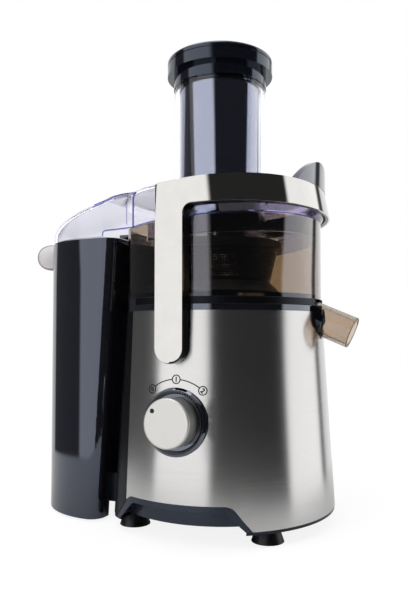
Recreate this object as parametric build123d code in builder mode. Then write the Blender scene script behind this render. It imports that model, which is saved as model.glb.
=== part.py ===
# A centrifugal juicer: motor base, juice bowl with spinning filter basket, clear lid with a wide
# feed tube, locking arm and a pulp bin at the side. Millimetres. The model is drawn round the drive
# axis, with +X to the spout, -Y to the knob and the table at z = 0, and is written out with the
# origin under the middle of its box.
import os
from math import cos, radians, sin, tan

from build123d import *

os.makedirs("parts", exist_ok=True)

# Clearances
fit = 0.15  # between fixed pieces that seat in one another
slip = 0.4  # between pieces that slide, lift or swing
running = 0.06  # round a turning shaft or pin
far = 400.0  # reach of a cutting block that has to pass through everything

# Feet and bottom plate
foot_height = 10.6
foot_radius = 13.0
foot_neck = 9.3
foot_stud = 3.0
foot_barb = 1.2
foot_margin = 1.8
foot_shift = 3.5
plate_thickness = 2.4
plate_inset = 0.4
vent_count = 7
vent_length = 44.0
vent_width = 3.2
vent_pitch = 8.0
screw_radius = 2.0
screw_head = 3.8
screw_head_height = 1.6
screw_inset = 13.5
screw_spread = 24.0
boss_width = 10.0
boss_height = 14.0

# Base casing, a circle with a flat side towards the pulp bin
wrap_height = 168.0
base_draft = 3.34
wrap_thickness = 1.0
housing_wall = 2.6
wrap_edge = 47.0
corner_radius = 28.0
collar_step = 0.5
collar_height = 11.0
collar_width = 6.0
deck_thickness = 4.0

# Front arch and its grey panel
arch_height = 19.2
arch_shoulder = 44.0
arch_foot = 58.5
arch_round = 10.0
trim_gap = 1.7
trim_wall = 2.5
trim_recess = 0.3
trim_border = 4.5
trim_setback = 10.0
trim_depth = 37.5

# Juice bowl
bowl_radius = 92.0
bowl_flat = 60.0
bowl_wall = 2.5
bowl_height = 62.5
seam_slope = 3.5
bowl_foot_drop = 6.0
bowl_lip_over = 6.0
bowl_lip_half = 52.0
bowl_lip_gap = 2.0

# Spout
spout_radius = 13.5
spout_wall = 2.4
spout_slope = 23.0
spout_reach = 120.0
spout_drop = 5.2
spout_start = 64.0
saddle_wall = 1.4
saddle_proud = 5.0
saddle_drop = 6.0

# Filter basket and drive coupling
basket_gap = 1.5
basket_flare = 8.0
basket_height = 34.0
basket_sheet = 0.8
basket_rise = 12.0
rim_width = 2.0
rim_height = 5.0
slot_count = 40
slot_width = 1.6
slot_margin = 4.0
disc_thickness = 1.2
tooth_rows = 10
tooth_circle_radius = 13.0
tooth_pitch = 7.0
tooth_rings = 5
tooth_radius = 1.3
tooth_height = 2.2
tooth_taper = 20.0
clamp_radius = 8.0
clamp_height = 3.0
hub_skirt_proud = 1.0
hub_skirt_drop = 9.0
hub_wall = 2.0
boss_radius = 15.0
hex_radius = 10.5
hex_height = 15.0
coupling_radius = 13.0
coupling_height = 6.0
coupling_gap = 0.8
seal_radius = 9.0
seal_rise = 1.5
well_radius = 17.0
well_wall = 2.2
well_height = 9.0

# Lid, canopy and feed tube
lid_height = 32.5
lid_wall = 2.5
lid_inset = 0.6
lid_round = 12.0
lid_skirt_depth = 14.0
lid_skirt_wall = 2.0
canopy_round = 12.0
canopy_slope = 16.0
canopy_step = 4.7
canopy_drop = 5.0
canopy_flare = 10.0
tube_radius = 42.2
tube_wall = 4.2
tube_height = 102.0
tube_flange = 6.0
tube_flange_height = 3.0
feed_gap = 8.0

# Pusher
pusher_gap = 1.5
pusher_wall = 2.5
pusher_length = 158.0
collar_rim_radius = 43.0
collar_rim_height = 11.5
cap_radius = 48.9
cap_height = 15.0
cap_round = 2.5
groove_drop = 4.5
groove_width = 0.8
groove_depth = 0.6

# Locking arm
arm_gap = 2.0
arm_depth = 14.0
arm_face = 3.0
band_thickness = 3.2
band_face = 1.3
band_lean = 10.4
leg_width = 21.0
pivot_drop = 29.5
band_rise = 7.0
band_bottom_slope = 2.5
band_height = 19.1
band_top_slope = 4.4
band_straight = 14.0
band_corner = 7.5
leg_corner = 1.5
frame_lip = 3.7
pivot_radius = 5.0
bush_wall = 2.5
grip_half = 61.5
grip_height = 30.0
grip_thickness = 3.4

# Pulp bin
bin_inset = 19.7
bin_gap = 10.6
bin_straight = 26.0
bin_lift = 2.0
bin_wall = 2.2
bin_corner = 12.0
bin_head = 8.5
canopy_gap = 1.0
shelf_height = 25.0
shelf_rise = 3.9
shelf_corner = 6.0
shelf_half = 54.0
shelf_length = 38.0
thumb_radius = 24.4
thumb_rise = 12.2
thumb_edge = 0.4
thumb_stand = 6.4
thumb_drop = 6.2

# Knob and switch
knob_level = 94.0
knob_radius = 19.3
knob_draft = 0.5
knob_height = 16.5
knob_round = 1.4
bezel_radius = 26.5
bezel_rim = 2.5
bezel_rise = 2.2
bezel_depth = 5.0
dish_radius = 21.5
pointer_radius = 1.6
pointer_depth = 0.8
pointer_circle_radius = 14.8
pointer_turn = 142.0
spindle_radius = 3.0
spindle_grip = 9.0
knob_gap = 0.8
dish_depth = 0.5
switch_width = 28.0
switch_depth = 22.0
switch_neck = 6.0

# Motor
shaft_radius = 4.0
stator_size = 84.0
stator_corner = 14.0
stator_height = 45.0
rotor_radius = 24.0
air_gap = 0.8
commutator_radius = 11.0
commutator_height = 16.0
commutator_rise = 6.0
bearing_radius = 11.0
bearing_height = 7.0
bracket_thickness = 4.0
bracket_boss = 3.5
post_radius = 6.0
bolt_offset = 32.0
bolt_radius = 2.0
bolt_head = 3.8
bolt_head_height = 3.0
bracket_rise = 32.0
bracket_drop = 22.0
fan_radius = 36.0
fan_hub = 9.0
fan_blades = 9
fan_height = 12.0
fan_gap = 4.0
blade_thickness = 1.4
bush_radius = 7.0
bush_height = 12.0
bush_circle_radius = 30.0
brush_width = 9.0
brush_length = 22.0
brush_gap = 0.5
brush_arm = 8.0
shaft_end = 2.0
seal_lip = 0.05
gland_radius = 8.0
gland_bore = 3.6
gland_level = 28.0
gland_proud = 4.0
gland_flange = 2.5
interlock_width = 20.0
interlock_depth = 7.0
interlock_height = 16.0

# Levels above the table
plate_top = foot_height + plate_thickness
wrap_top = plate_top + wrap_height
collar_top = wrap_top + collar_height
bowl_top = collar_top + bowl_height
bowl_floor = collar_top + bowl_wall
lid_top = bowl_top + lid_height
tube_top = lid_top + tube_height
deck_bottom = wrap_top - deck_thickness
pivot_height = wrap_top - pivot_drop
band_bottom = bowl_top + band_rise
band_top = band_bottom + band_height
bin_top = bowl_top - bin_head
canopy_bottom = bin_top + canopy_gap
disc_level = bowl_floor + basket_rise + hub_wall
tube_bottom = disc_level + disc_thickness + feed_gap

# Plan sizes that follow from the bowl
draft_run = tan(radians(base_draft))
top_radius = bowl_radius + collar_step
base_radius = top_radius + wrap_height * draft_run
base_flat = bowl_flat + collar_step + wrap_height * draft_run
top_flat = bowl_flat + collar_step
top_corner = corner_radius - wrap_height * draft_run
lid_radius = bowl_radius - lid_inset
inner_inset = wrap_thickness + fit + housing_wall
bin_radius = bowl_radius - bin_inset
bin_inner = bowl_flat + bin_gap
bin_center = -bin_inner - bin_straight
arm_inner = bowl_radius + arm_gap
arm_outer = arm_inner + arm_depth
bowl_lip_length = bin_gap + bowl_lip_over
basket_top_radius = bowl_flat - bowl_wall - basket_gap - rim_width
basket_low_radius = basket_top_radius - basket_flare
hub_skirt_radius = basket_top_radius + hub_skirt_proud


# The radius of the casing at a level
def casing_radius(level):
    return base_radius - (level - plate_top) * draft_run


# A circle cut by a flat on the -X side, with rounded corners
def flat_circle(level, radius, flat, corner):
    with BuildSketch(Plane.XY.offset(level)) as outline:
        Circle(radius)
        with Locations((-flat, 0)):
            Rectangle(radius, 3 * radius, align=(Align.MAX, Align.CENTER), mode=Mode.SUBTRACT)
        fillet(outline.vertices(), corner)
    return outline.sketch


# The casing's tapered form, moved in by an inset, between two levels
def casing_form(inset, bottom, top):
    shrink = inset + (bottom - plate_top) * draft_run
    with BuildPart() as form:
        extrude(
            flat_circle(bottom, base_radius - shrink, base_flat - shrink, corner_radius - shrink),
            amount=top - bottom,
            taper=base_draft,
        )
    return form.part


# The front arch as a block, moved in by an inset, from y = -start forwards
def arch_form(inset, start):
    low = plate_top
    high = plate_top + arch_height - inset
    foot = arch_foot - inset
    shoulder = arch_shoulder - inset
    side = base_radius
    with BuildPart() as form:
        with BuildSketch(Plane.XZ.offset(start)) as face:
            with BuildLine():
                Polyline(
                    (-side, low - foot_height),
                    (-side, low),
                    (-foot, low),
                    (-shoulder, high),
                    (shoulder, high),
                    (foot, low),
                    (side, low),
                    (side, low - foot_height),
                    close=True,
                )
            make_face()
            fillet(face.vertices().group_by(Axis.Y)[-1], arch_round - inset)
        extrude(amount=far)
    return form.part


# The spout's axis runs out and down from under the bowl's floor
spout_run = Vector(cos(radians(spout_slope)), 0, -sin(radians(spout_slope)))
spout_root = Vector(spout_start, 0, collar_top - spout_drop)


# A point on the spout's axis at a distance out from the drive axis
def spout_point(x):
    return spout_root + spout_run * ((x - spout_start) / spout_run.X)


# A round bar along the spout's axis, from one distance out to another
def spout_bar(radius, start, end):
    with BuildPart() as bar:
        with BuildSketch(Plane(origin=spout_point(start), x_dir=(0, 1, 0), z_dir=spout_run)):
            Circle(radius)
        extrude(amount=(spout_point(end) - spout_point(start)).length)
    return bar.part


# The same bar, open upwards to a level, as the trough that the spout drops into
def spout_slot(radius, start, end, level):
    with BuildPart() as slot:
        add(spout_bar(radius, start, end))
        with BuildSketch(Plane.XZ):
            with BuildLine():
                Polyline(
                    (start, spout_point(start).Z),
                    (end, spout_point(end).Z),
                    (end, level),
                    (start, level),
                    close=True,
                )
            make_face()
        extrude(amount=radius, both=True)
        split(bisect_by=Plane.XY.offset(level), keep=Keep.BOTTOM)
    return slot.part


# A round piece from its half section: distance from the axis, and level or height
def turned(points, plane=Plane.XZ, axis=Axis.Z):
    with BuildPart() as piece:
        with BuildSketch(plane):
            with BuildLine():
                Polyline(*points, close=True)
            make_face()
        revolve(axis=axis)
    return piece.part


# A round piece on a plane: distance from the plane's middle, and height above the plane
def turned_on(plane, points):
    side = Plane(origin=plane.origin, x_dir=plane.x_dir, z_dir=-plane.y_dir)
    return turned(points, side, Axis(plane.origin, plane.z_dir))


# A ring round the drive axis
def ring(inner, outer, bottom, top):
    return turned([(inner, bottom), (outer, bottom), (outer, top), (inner, top)])


# The knob's plane on the front of the casing and the gland's on the back, leaning with the casing
lean = radians(base_draft)
knob_plane = Plane(
    origin=(0, -casing_radius(knob_level), knob_level),
    x_dir=(1, 0, 0),
    z_dir=(0, -cos(lean), sin(lean)),
)
gland_plane = Plane(
    origin=(0, casing_radius(gland_level), gland_level),
    x_dir=(-1, 0, 0),
    z_dir=(0, cos(lean), sin(lean)),
)

saddle_outer = spout_radius + slip + saddle_wall
saddle_start = spout_start - slip - saddle_wall
saddle_end = top_radius + saddle_proud
bush_outer = pivot_radius + running + bush_wall

# Openings cut through the casing and its steel skin
with BuildPart() as casing_holes:
    with BuildSketch(knob_plane.offset(-2 * bezel_depth)):
        Circle(bezel_radius + fit)
    extrude(amount=3 * bezel_depth)
    with BuildSketch(gland_plane.offset(-2 * inner_inset)):
        Circle(gland_radius + fit)
    extrude(amount=3 * inner_inset)
    add(spout_slot(saddle_outer + fit, saddle_start - fit, spout_reach, collar_top + collar_height))
    with BuildSketch(Plane.XZ):
        with Locations((0, pivot_height)):
            Circle(bush_outer + fit)
    extrude(amount=far, both=True)

# Brushed steel skin round the front, spout side and back
with BuildPart() as steel_wrap:
    add(casing_form(0, plate_top, wrap_top))
    add(casing_form(wrap_thickness, plate_top - 1, wrap_top + 1), mode=Mode.SUBTRACT)
    split(bisect_by=Plane.YZ.offset(-wrap_edge), keep=Keep.TOP)
    add(arch_form(0, 0), mode=Mode.SUBTRACT)
    add(casing_holes.part, mode=Mode.SUBTRACT)

# Space that the skin takes from the casing
with BuildPart() as wrap_pocket:
    add(casing_form(0, plate_top - 1, wrap_top + 1))
    add(casing_form(wrap_thickness + fit, plate_top - 2, wrap_top + 2), mode=Mode.SUBTRACT)
    split(bisect_by=Plane.YZ.offset(-wrap_edge - fit), keep=Keep.TOP)

# Places of the plate screws: two towards the spout, two along the flat side
spout_screws = [(base_radius - inner_inset - screw_inset, y) for y in (-screw_spread, screw_spread)]
flat_screws = [(boss_width + inner_inset - base_flat, y) for y in (-screw_spread, screw_spread)]
screw_places = spout_screws + flat_screws

# Bosses on the inside of the wall that the plate screws go into
with BuildPart() as screw_bosses:
    with BuildSketch(Plane.XY.offset(plate_top)):
        with Locations(*spout_screws):
            Rectangle(base_radius, boss_width, align=(Align.MIN, Align.CENTER))
        with Locations(*flat_screws):
            Rectangle(base_radius, boss_width, align=(Align.MAX, Align.CENTER))
        with Locations(*screw_places):
            Circle(boss_width / 2)
    extrude(amount=boss_height)
    add(casing_form(inner_inset - fit, plate_top, wrap_top), mode=Mode.INTERSECT)
    with BuildSketch(Plane.XY.offset(plate_top)):
        with Locations(*screw_places):
            Circle(screw_radius + fit)
    extrude(amount=boss_height, mode=Mode.SUBTRACT)

# Black moulded casing
with BuildPart() as base_housing:
    add(casing_form(0, plate_top, wrap_top))
    add(wrap_pocket.part, mode=Mode.SUBTRACT)
    add(casing_form(inner_inset, plate_top - 1, wrap_top + 1), mode=Mode.SUBTRACT)
    add(screw_bosses.part)
    add(arch_form(0, 0), mode=Mode.SUBTRACT)
    add(casing_holes.part, mode=Mode.SUBTRACT)

# Space in front of the arch's panel and under the floor behind it, inside the border
trim_floor = plate_top + trim_gap
trim_back = base_radius - trim_depth
with BuildPart() as panel_space:
    add(arch_form(fit + trim_border, trim_back + trim_wall))
    add(casing_form(trim_setback, trim_floor, wrap_top), mode=Mode.SUBTRACT)

# Grey panel in the front arch: a border along the steel, a face set back from it, a floor and a lip
# that stands on the bottom plate
with BuildPart() as front_trim:
    add(arch_form(fit, trim_back))
    add(casing_form(trim_recess, plate_top, wrap_top), mode=Mode.INTERSECT)
    add(panel_space.part, mode=Mode.SUBTRACT)
    add(casing_form(trim_setback + trim_wall, trim_floor + trim_wall, wrap_top), mode=Mode.SUBTRACT)

# Bottom plate, cut back behind the front arch, with air slots under the fan
foot_offset = base_flat - foot_radius - foot_margin + foot_shift
foot_middle = (foot_shift, 0)
with BuildPart() as bottom_plate:
    add(casing_form(plate_inset, foot_height, plate_top))
    with BuildSketch(Plane.XY.offset(foot_height)):
        with Locations((0, -trim_back - trim_wall)):
            Rectangle(2 * (arch_foot - trim_border), far, align=(Align.CENTER, Align.MAX))
        with GridLocations(vent_length, vent_pitch, 1, vent_count):
            SlotOverall(vent_length, vent_width)
        with Locations(foot_middle):
            with GridLocations(2 * foot_offset, 2 * foot_offset, 2, 2):
                Circle(foot_stud + fit)
        with Locations(*screw_places):
            Circle(screw_radius + fit)
    extrude(amount=plate_thickness, mode=Mode.SUBTRACT)
    with BuildSketch(Plane.XY.offset(foot_height)):
        with Locations(*screw_places):
            Circle(screw_head + fit)
    extrude(amount=screw_head_height, mode=Mode.SUBTRACT)

# Screws up through the plate into the bosses
with BuildPart() as plate_screws:
    with BuildSketch(Plane.XY.offset(foot_height)):
        with Locations(*screw_places):
            Circle(screw_head)
    extrude(amount=screw_head_height)
    with BuildSketch(Plane.XY.offset(foot_height)):
        with Locations(*screw_places):
            Circle(screw_radius)
    extrude(amount=plate_thickness + boss_height - screw_radius)

# Rubber feet, each with a barbed stud pushed through the plate
bottom_up = (Align.CENTER, Align.CENTER, Align.MIN)
with BuildPart() as rubber_feet:
    with Locations(foot_middle):
        with GridLocations(2 * foot_offset, 2 * foot_offset, 2, 2):
            Cone(foot_radius, foot_neck, foot_height, align=bottom_up)
            Cylinder(foot_stud, plate_top, align=bottom_up)
            with Locations((0, 0, plate_top)):
                Cone(foot_stud + foot_barb, foot_stud - foot_barb, 2 * foot_barb, align=bottom_up)

# Ledge on the flat side that the pulp bin hangs over
shelf_bottom = foot_height + shelf_rise
shelf_top = shelf_bottom + shelf_height
shelf_reach = base_flat + shelf_length


# The ledge's block, grown by an outset, from a level up
def shelf_form(outset, bottom):
    with BuildPart() as form:
        with BuildSketch(Plane.XY.offset(bottom)):
            with Locations((-shelf_reach - outset, 0)):
                Rectangle(shelf_reach, 2 * (shelf_half + outset), align=(Align.MIN, Align.CENTER))
        extrude(amount=shelf_top + outset - bottom)
    return form.part


with BuildPart() as bin_shelf:
    add(shelf_form(0, shelf_bottom))
    fillet(bin_shelf.edges().filter_by(Axis.Z).group_by(Axis.X)[0], shelf_corner)
    add(casing_form(0, foot_height, wrap_top), mode=Mode.SUBTRACT)

# Black collar and deck under the bowl
collar_inner = top_radius - collar_width
with BuildPart() as top_deck:
    extrude(flat_circle(wrap_top, top_radius, top_flat, top_corner), amount=collar_height)
    extrude(
        flat_circle(wrap_top, collar_inner, top_flat - collar_width, top_corner - collar_width),
        amount=collar_height,
        mode=Mode.SUBTRACT,
    )
    add(casing_form(inner_inset + fit, deck_bottom, wrap_top))
    add(
        spout_slot(saddle_outer + fit, saddle_start - fit, spout_reach, collar_top + collar_height),
        mode=Mode.SUBTRACT,
    )
    with BuildSketch(Plane.XY.offset(deck_bottom)):
        Circle(seal_radius + fit)
    extrude(amount=deck_thickness, mode=Mode.SUBTRACT)

# Trough that the spout drops into, lower outside the collar
with BuildPart() as spout_saddle:
    add(spout_slot(saddle_outer, saddle_start, saddle_end, collar_top))
    add(
        spout_slot(spout_radius + slip, spout_start - slip, spout_reach, collar_top + collar_height),
        mode=Mode.SUBTRACT,
    )
    add(ring(top_radius, far, collar_top - saddle_drop, collar_top + collar_height), mode=Mode.SUBTRACT)

# Cord inlet at the back
with BuildPart() as cord_gland:
    add(
        turned_on(
            gland_plane,
            [
                (0, -inner_inset - gland_flange),
                (gland_radius, -inner_inset - gland_flange),
                (gland_radius, 0),
                (gland_radius + gland_flange, 0),
                (gland_radius + gland_flange, gland_flange),
                (gland_bore + gland_flange, gland_proud + gland_flange),
                (gland_bore, gland_proud + gland_flange),
                (gland_bore, -inner_inset),
                (0, -inner_inset),
            ],
        )
    )

# Knob, its dished bezel, spindle and switch
knob_base = knob_gap - dish_depth
with BuildPart() as knob_bezel:
    add(
        turned_on(
            knob_plane,
            [
                (spindle_radius + slip, -bezel_depth),
                (bezel_radius, -bezel_depth),
                (bezel_radius, bezel_rise),
                (bezel_radius - bezel_rim, bezel_rise),
                (dish_radius, -dish_depth),
                (spindle_radius + slip, -dish_depth),
            ],
        )
    )

knob_top = knob_base + knob_height
knob_face = knob_radius - knob_height * tan(radians(knob_draft))
with BuildPart() as control_knob:
    add(
        turned_on(
            knob_plane,
            [
                (0, knob_base),
                (knob_radius, knob_base),
                (knob_face, knob_top),
                (0, knob_top),
            ],
        )
    )
    fillet(control_knob.edges().sort_by(Axis(knob_plane.origin, knob_plane.z_dir))[-1], knob_round)
    with BuildSketch(knob_plane.offset(knob_top - pointer_depth)):
        with PolarLocations(pointer_circle_radius, 1, start_angle=pointer_turn):
            Circle(pointer_radius)
    extrude(amount=knob_height, mode=Mode.SUBTRACT)
    with BuildSketch(knob_plane.offset(knob_base)):
        Circle(spindle_radius + fit)
    extrude(amount=spindle_grip, mode=Mode.SUBTRACT)

with BuildPart() as switch_spindle:
    with BuildSketch(knob_plane.offset(-bezel_depth - spindle_radius)):
        Circle(spindle_radius)
    extrude(amount=bezel_depth + spindle_radius + knob_base + spindle_grip)

with BuildPart() as switch_body:
    with BuildSketch(knob_plane.offset(-bezel_depth)):
        Circle(switch_neck)
    extrude(amount=-2 * spindle_radius)
    with BuildSketch(knob_plane.offset(-bezel_depth - 2 * spindle_radius)):
        RectangleRounded(switch_width, switch_width, spindle_radius)
    extrude(amount=-switch_depth)
    with BuildSketch(knob_plane.offset(-bezel_depth)):
        Circle(spindle_radius + running)
    extrude(amount=-spindle_radius - fit, mode=Mode.SUBTRACT)

# Safety switch under the deck that the closed arm works
with BuildPart() as interlock_switch:
    with BuildSketch(Plane.XZ.offset(collar_inner - inner_inset - 2 * interlock_depth)):
        with Locations((0, deck_bottom)):
            Rectangle(interlock_width, interlock_height, align=(Align.CENTER, Align.MAX))
    extrude(amount=interlock_depth)

# Motor, hung from the deck on rubber bushes: levels from the deck down
upper_seat = deck_bottom - bush_height
upper_level = upper_seat - bracket_thickness
stator_top = upper_level - bracket_rise
stator_level = stator_top - stator_height
lower_level = stator_level - bracket_drop - bracket_thickness
fan_top = lower_level - bearing_height - fan_gap
fan_bottom = fan_top - fan_height
coupling_level = wrap_top + seal_rise + coupling_gap
hub_level = coupling_level + coupling_height
bearing_level = upper_level + bracket_boss / 2
seat_radius = bearing_radius + fit
shaft_hole = (shaft_radius + bearing_radius) / 2


# The motor's rounded square outline as a plate, with the holes of its four bolts
def motor_plate(bottom, top):
    with BuildPart() as plate:
        with BuildSketch(Plane.XY.offset(bottom)):
            RectangleRounded(stator_size, stator_size, stator_corner)
            with GridLocations(2 * bolt_offset, 2 * bolt_offset, 2, 2):
                Circle(bolt_radius + fit, mode=Mode.SUBTRACT)
        extrude(amount=top - bottom)
    return plate.part


# Four posts round the bolts, between a bracket and the stator
def motor_posts(bottom, top):
    with BuildPart() as posts:
        with BuildSketch(Plane.XY.offset(bottom)):
            with GridLocations(2 * bolt_offset, 2 * bolt_offset, 2, 2):
                Circle(post_radius)
                Circle(bolt_radius + fit, mode=Mode.SUBTRACT)
        extrude(amount=top - bottom)
    return posts.part


with BuildPart() as motor_stator:
    add(motor_plate(stator_level, stator_top))
    add(ring(0, rotor_radius + air_gap, stator_level, stator_top), mode=Mode.SUBTRACT)

with BuildPart() as upper_bracket:
    add(motor_plate(upper_level, upper_seat))
    add(motor_posts(stator_top, upper_level))
    add(ring(0, seat_radius + bracket_boss, upper_level, upper_level + bearing_height))
    add(ring(0, seat_radius, bearing_level, upper_seat + bearing_height), mode=Mode.SUBTRACT)
    add(ring(0, shaft_hole, upper_level, upper_seat), mode=Mode.SUBTRACT)

with BuildPart() as lower_bracket:
    add(motor_plate(lower_level, lower_level + bracket_thickness))
    add(motor_posts(lower_level + bracket_thickness, stator_level))
    add(ring(0, seat_radius + bracket_boss, lower_level - bearing_height, lower_level))
    add(ring(0, seat_radius, lower_level - bearing_height, lower_level), mode=Mode.SUBTRACT)
    add(ring(0, shaft_hole, lower_level, lower_level + bracket_thickness), mode=Mode.SUBTRACT)

with BuildPart() as upper_bearing:
    add(ring(shaft_radius + running, bearing_radius, bearing_level, bearing_level + bearing_height))

with BuildPart() as lower_bearing:
    add(ring(shaft_radius + running, bearing_radius, lower_level - bearing_height, lower_level))

with BuildPart() as motor_bolts:
    with BuildSketch(Plane.XY.offset(lower_level)):
        with GridLocations(2 * bolt_offset, 2 * bolt_offset, 2, 2):
            Circle(bolt_radius)
    extrude(amount=upper_seat - lower_level)
    with BuildSketch(Plane.XY.offset(upper_seat)):
        with GridLocations(2 * bolt_offset, 2 * bolt_offset, 2, 2):
            RegularPolygon(bolt_head, 6)
    extrude(amount=bolt_head_height)

with BuildPart() as motor_bushes:
    with BuildSketch(Plane.XY.offset(upper_seat)):
        with PolarLocations(bush_circle_radius, 4):
            Circle(bush_radius)
    extrude(amount=deck_bottom - upper_seat)

commutator_level = stator_top + commutator_rise
with BuildPart() as commutator:
    add(
        ring(
            shaft_radius + running,
            commutator_radius,
            commutator_level,
            commutator_level + commutator_height,
        )
    )

# Brush boxes beside the commutator, each on an arm from the upper bracket
brush_start = commutator_radius + brush_gap
brush_level = commutator_level + (commutator_height - brush_width) / 2
with BuildPart() as brush_holders:
    with BuildSketch(Plane.YZ):
        with Locations((-brush_start, brush_level)):
            Rectangle(brush_length, brush_width, align=(Align.MAX, Align.MIN))
        with Locations((-brush_start - brush_length, brush_level)):
            Rectangle(brush_arm, upper_level - brush_level, align=(Align.MIN, Align.MIN))
    extrude(amount=brush_width / 2, both=True)
    mirror(about=Plane.XZ)

with BuildPart() as motor_rotor:
    add(ring(shaft_radius + running, rotor_radius, stator_level, stator_top))

with BuildPart() as cooling_fan:
    add(ring(shaft_radius + running, fan_hub, fan_bottom, fan_top))
    add(ring(fan_hub - blade_thickness, fan_radius, fan_top - blade_thickness, fan_top))
    with BuildSketch(Plane.XY.offset(fan_bottom)):
        with PolarLocations((fan_hub + fan_radius - blade_thickness) / 2, fan_blades):
            Rectangle(fan_radius - fan_hub, blade_thickness)
    extrude(amount=fan_height)

with BuildPart() as motor_shaft:
    add(ring(0, shaft_radius, fan_bottom - shaft_end, hub_level + hex_height - shaft_radius))

with BuildPart() as shaft_seal:
    add(
        turned(
            [
                (shaft_radius + seal_lip, deck_bottom),
                (seal_radius, deck_bottom),
                (seal_radius, wrap_top),
                (seal_radius + seal_rise, wrap_top),
                (seal_radius, wrap_top + seal_rise),
                (shaft_radius + seal_lip, wrap_top + seal_rise),
            ]
        )
    )

# Coupling with a hexagon that drives the basket
with BuildPart() as drive_coupling:
    add(ring(0, coupling_radius, coupling_level, hub_level))
    with BuildSketch(Plane.XY.offset(hub_level)):
        RegularPolygon(hex_radius, 6)
    extrude(amount=hex_height)
    with BuildSketch(Plane.XY.offset(coupling_level)):
        Circle(shaft_radius + running)
    extrude(amount=coupling_height + hex_height - shaft_radius + fit, mode=Mode.SUBTRACT)

# Basket: moulded hub, slotted conical sheet, rim and grating disc
plate_level = disc_level - hub_wall
skirt_level = disc_level - hub_skirt_drop
with BuildPart() as basket_hub:
    add(
        turned(
            [
                (0, disc_level),
                (basket_low_radius, disc_level),
                (hub_skirt_radius, skirt_level),
                (hub_skirt_radius - 1.4 * hub_wall, skirt_level),
                (basket_low_radius - hub_wall / 2, plate_level),
                (boss_radius, plate_level),
                (boss_radius, hub_level),
                (0, hub_level),
            ]
        )
    )
    with BuildSketch(Plane.XY.offset(hub_level)):
        RegularPolygon(hex_radius + fit, 6)
    extrude(amount=hex_height + fit, mode=Mode.SUBTRACT)

basket_top = disc_level + basket_height
basket_run = (basket_top_radius - basket_low_radius) / basket_height
with BuildPart() as filter_basket:
    add(
        turned(
            [
                (basket_low_radius - basket_sheet, disc_level),
                (basket_low_radius, disc_level),
                (basket_top_radius, basket_top),
                (basket_top_radius - basket_sheet, basket_top),
            ]
        )
    )
    with BuildSketch(Plane.XY.offset(disc_level + slot_margin)):
        with PolarLocations(basket_low_radius, slot_count):
            Rectangle(basket_low_radius / 2, slot_width)
    extrude(amount=basket_height - rim_height - 2 * slot_margin, mode=Mode.SUBTRACT)

rim_bottom = basket_top - rim_height
with BuildPart() as basket_rim:
    add(
        turned(
            [
                (basket_top_radius - basket_run * rim_height + fit, rim_bottom),
                (basket_top_radius + rim_width, rim_bottom),
                (basket_top_radius + rim_width, basket_top + rim_width),
                (basket_top_radius - basket_sheet - rim_width, basket_top + rim_width),
                (basket_top_radius - basket_sheet - rim_width, basket_top),
                (basket_top_radius + fit, basket_top),
            ]
        )
    )

disc_top = disc_level + disc_thickness
with BuildPart() as grating_disc:
    add(ring(0, basket_low_radius - basket_sheet - fit, disc_level, disc_top))
    add(ring(0, clamp_radius, disc_top, disc_top + clamp_height))
    with BuildSketch(Plane.XY.offset(disc_top)):
        for turn in range(tooth_rings):
            with PolarLocations(
                tooth_circle_radius + turn * tooth_pitch,
                tooth_rows,
                start_angle=turn * 180 / tooth_rows,
            ):
                RegularPolygon(tooth_radius, 3)
    extrude(amount=tooth_height, taper=tooth_taper)

# The seam between bowl and lid rises towards the spout
seam = Plane(
    origin=(0, 0, bowl_top),
    x_dir=(cos(radians(seam_slope)), 0, sin(radians(seam_slope))),
    z_dir=(-sin(radians(seam_slope)), 0, cos(radians(seam_slope))),
)

# Room for the spout and its trough under the bowl
with BuildPart() as spout_room:
    add(spout_slot(saddle_outer + slip, saddle_start - slip, spout_reach, collar_top))

# Smoky juice bowl with a foot in the collar, a well round the drive and a lip into the pulp bin
bowl_corner = top_corner - collar_step
bowl_bore = bowl_radius - bowl_wall
foot_ring = collar_inner - slip
foot_flat = top_flat - collar_width - slip
foot_corner = top_corner - collar_width - slip
lip_top = bin_top + bowl_lip_gap + bowl_wall
with BuildPart() as juice_bowl:
    extrude(flat_circle(collar_top, bowl_radius, bowl_flat, bowl_corner), amount=2 * bowl_height)
    extrude(
        flat_circle(bowl_floor, bowl_bore, bowl_flat - bowl_wall, bowl_corner - bowl_wall),
        amount=2 * bowl_height,
        mode=Mode.SUBTRACT,
    )
    split(bisect_by=seam, keep=Keep.BOTTOM)
    with BuildSketch(Plane.XY.offset(collar_top - bowl_foot_drop)):
        add(flat_circle(0, foot_ring, foot_flat, foot_corner))
        add(
            flat_circle(0, foot_ring - bowl_wall, foot_flat - bowl_wall, foot_corner - bowl_wall),
            mode=Mode.SUBTRACT,
        )
    extrude(amount=bowl_foot_drop)
    add(ring(well_radius, well_radius + well_wall, collar_top, bowl_floor + well_height))
    add(ring(0, well_radius, collar_top, bowl_floor + well_height), mode=Mode.SUBTRACT)
    with BuildSketch(Plane.XY.offset(lip_top)):
        with Locations((-bowl_flat + bowl_wall, 0)):
            Rectangle(bowl_wall + bowl_lip_length, 2 * bowl_lip_half, align=(Align.MAX, Align.CENTER))
    extrude(amount=-bowl_wall)
    with BuildSketch(Plane.XY.offset(lip_top)):
        with Locations((-bowl_flat + bowl_wall, 0)):
            Rectangle(far, 2 * bowl_lip_half, align=(Align.MAX, Align.CENTER))
    extrude(amount=far, mode=Mode.SUBTRACT)
    add(spout_bar(spout_radius - spout_wall, spout_start + spout_wall, spout_reach), mode=Mode.SUBTRACT)
    add(spout_room.part, mode=Mode.SUBTRACT)

with BuildPart() as juice_spout:
    add(spout_bar(spout_radius, spout_start, spout_reach))
    add(
        spout_bar(spout_radius - spout_wall, spout_start + spout_wall, spout_reach + spout_radius),
        mode=Mode.SUBTRACT,
    )
    split(bisect_by=Plane.XY.offset(collar_top), keep=Keep.BOTTOM)

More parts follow.
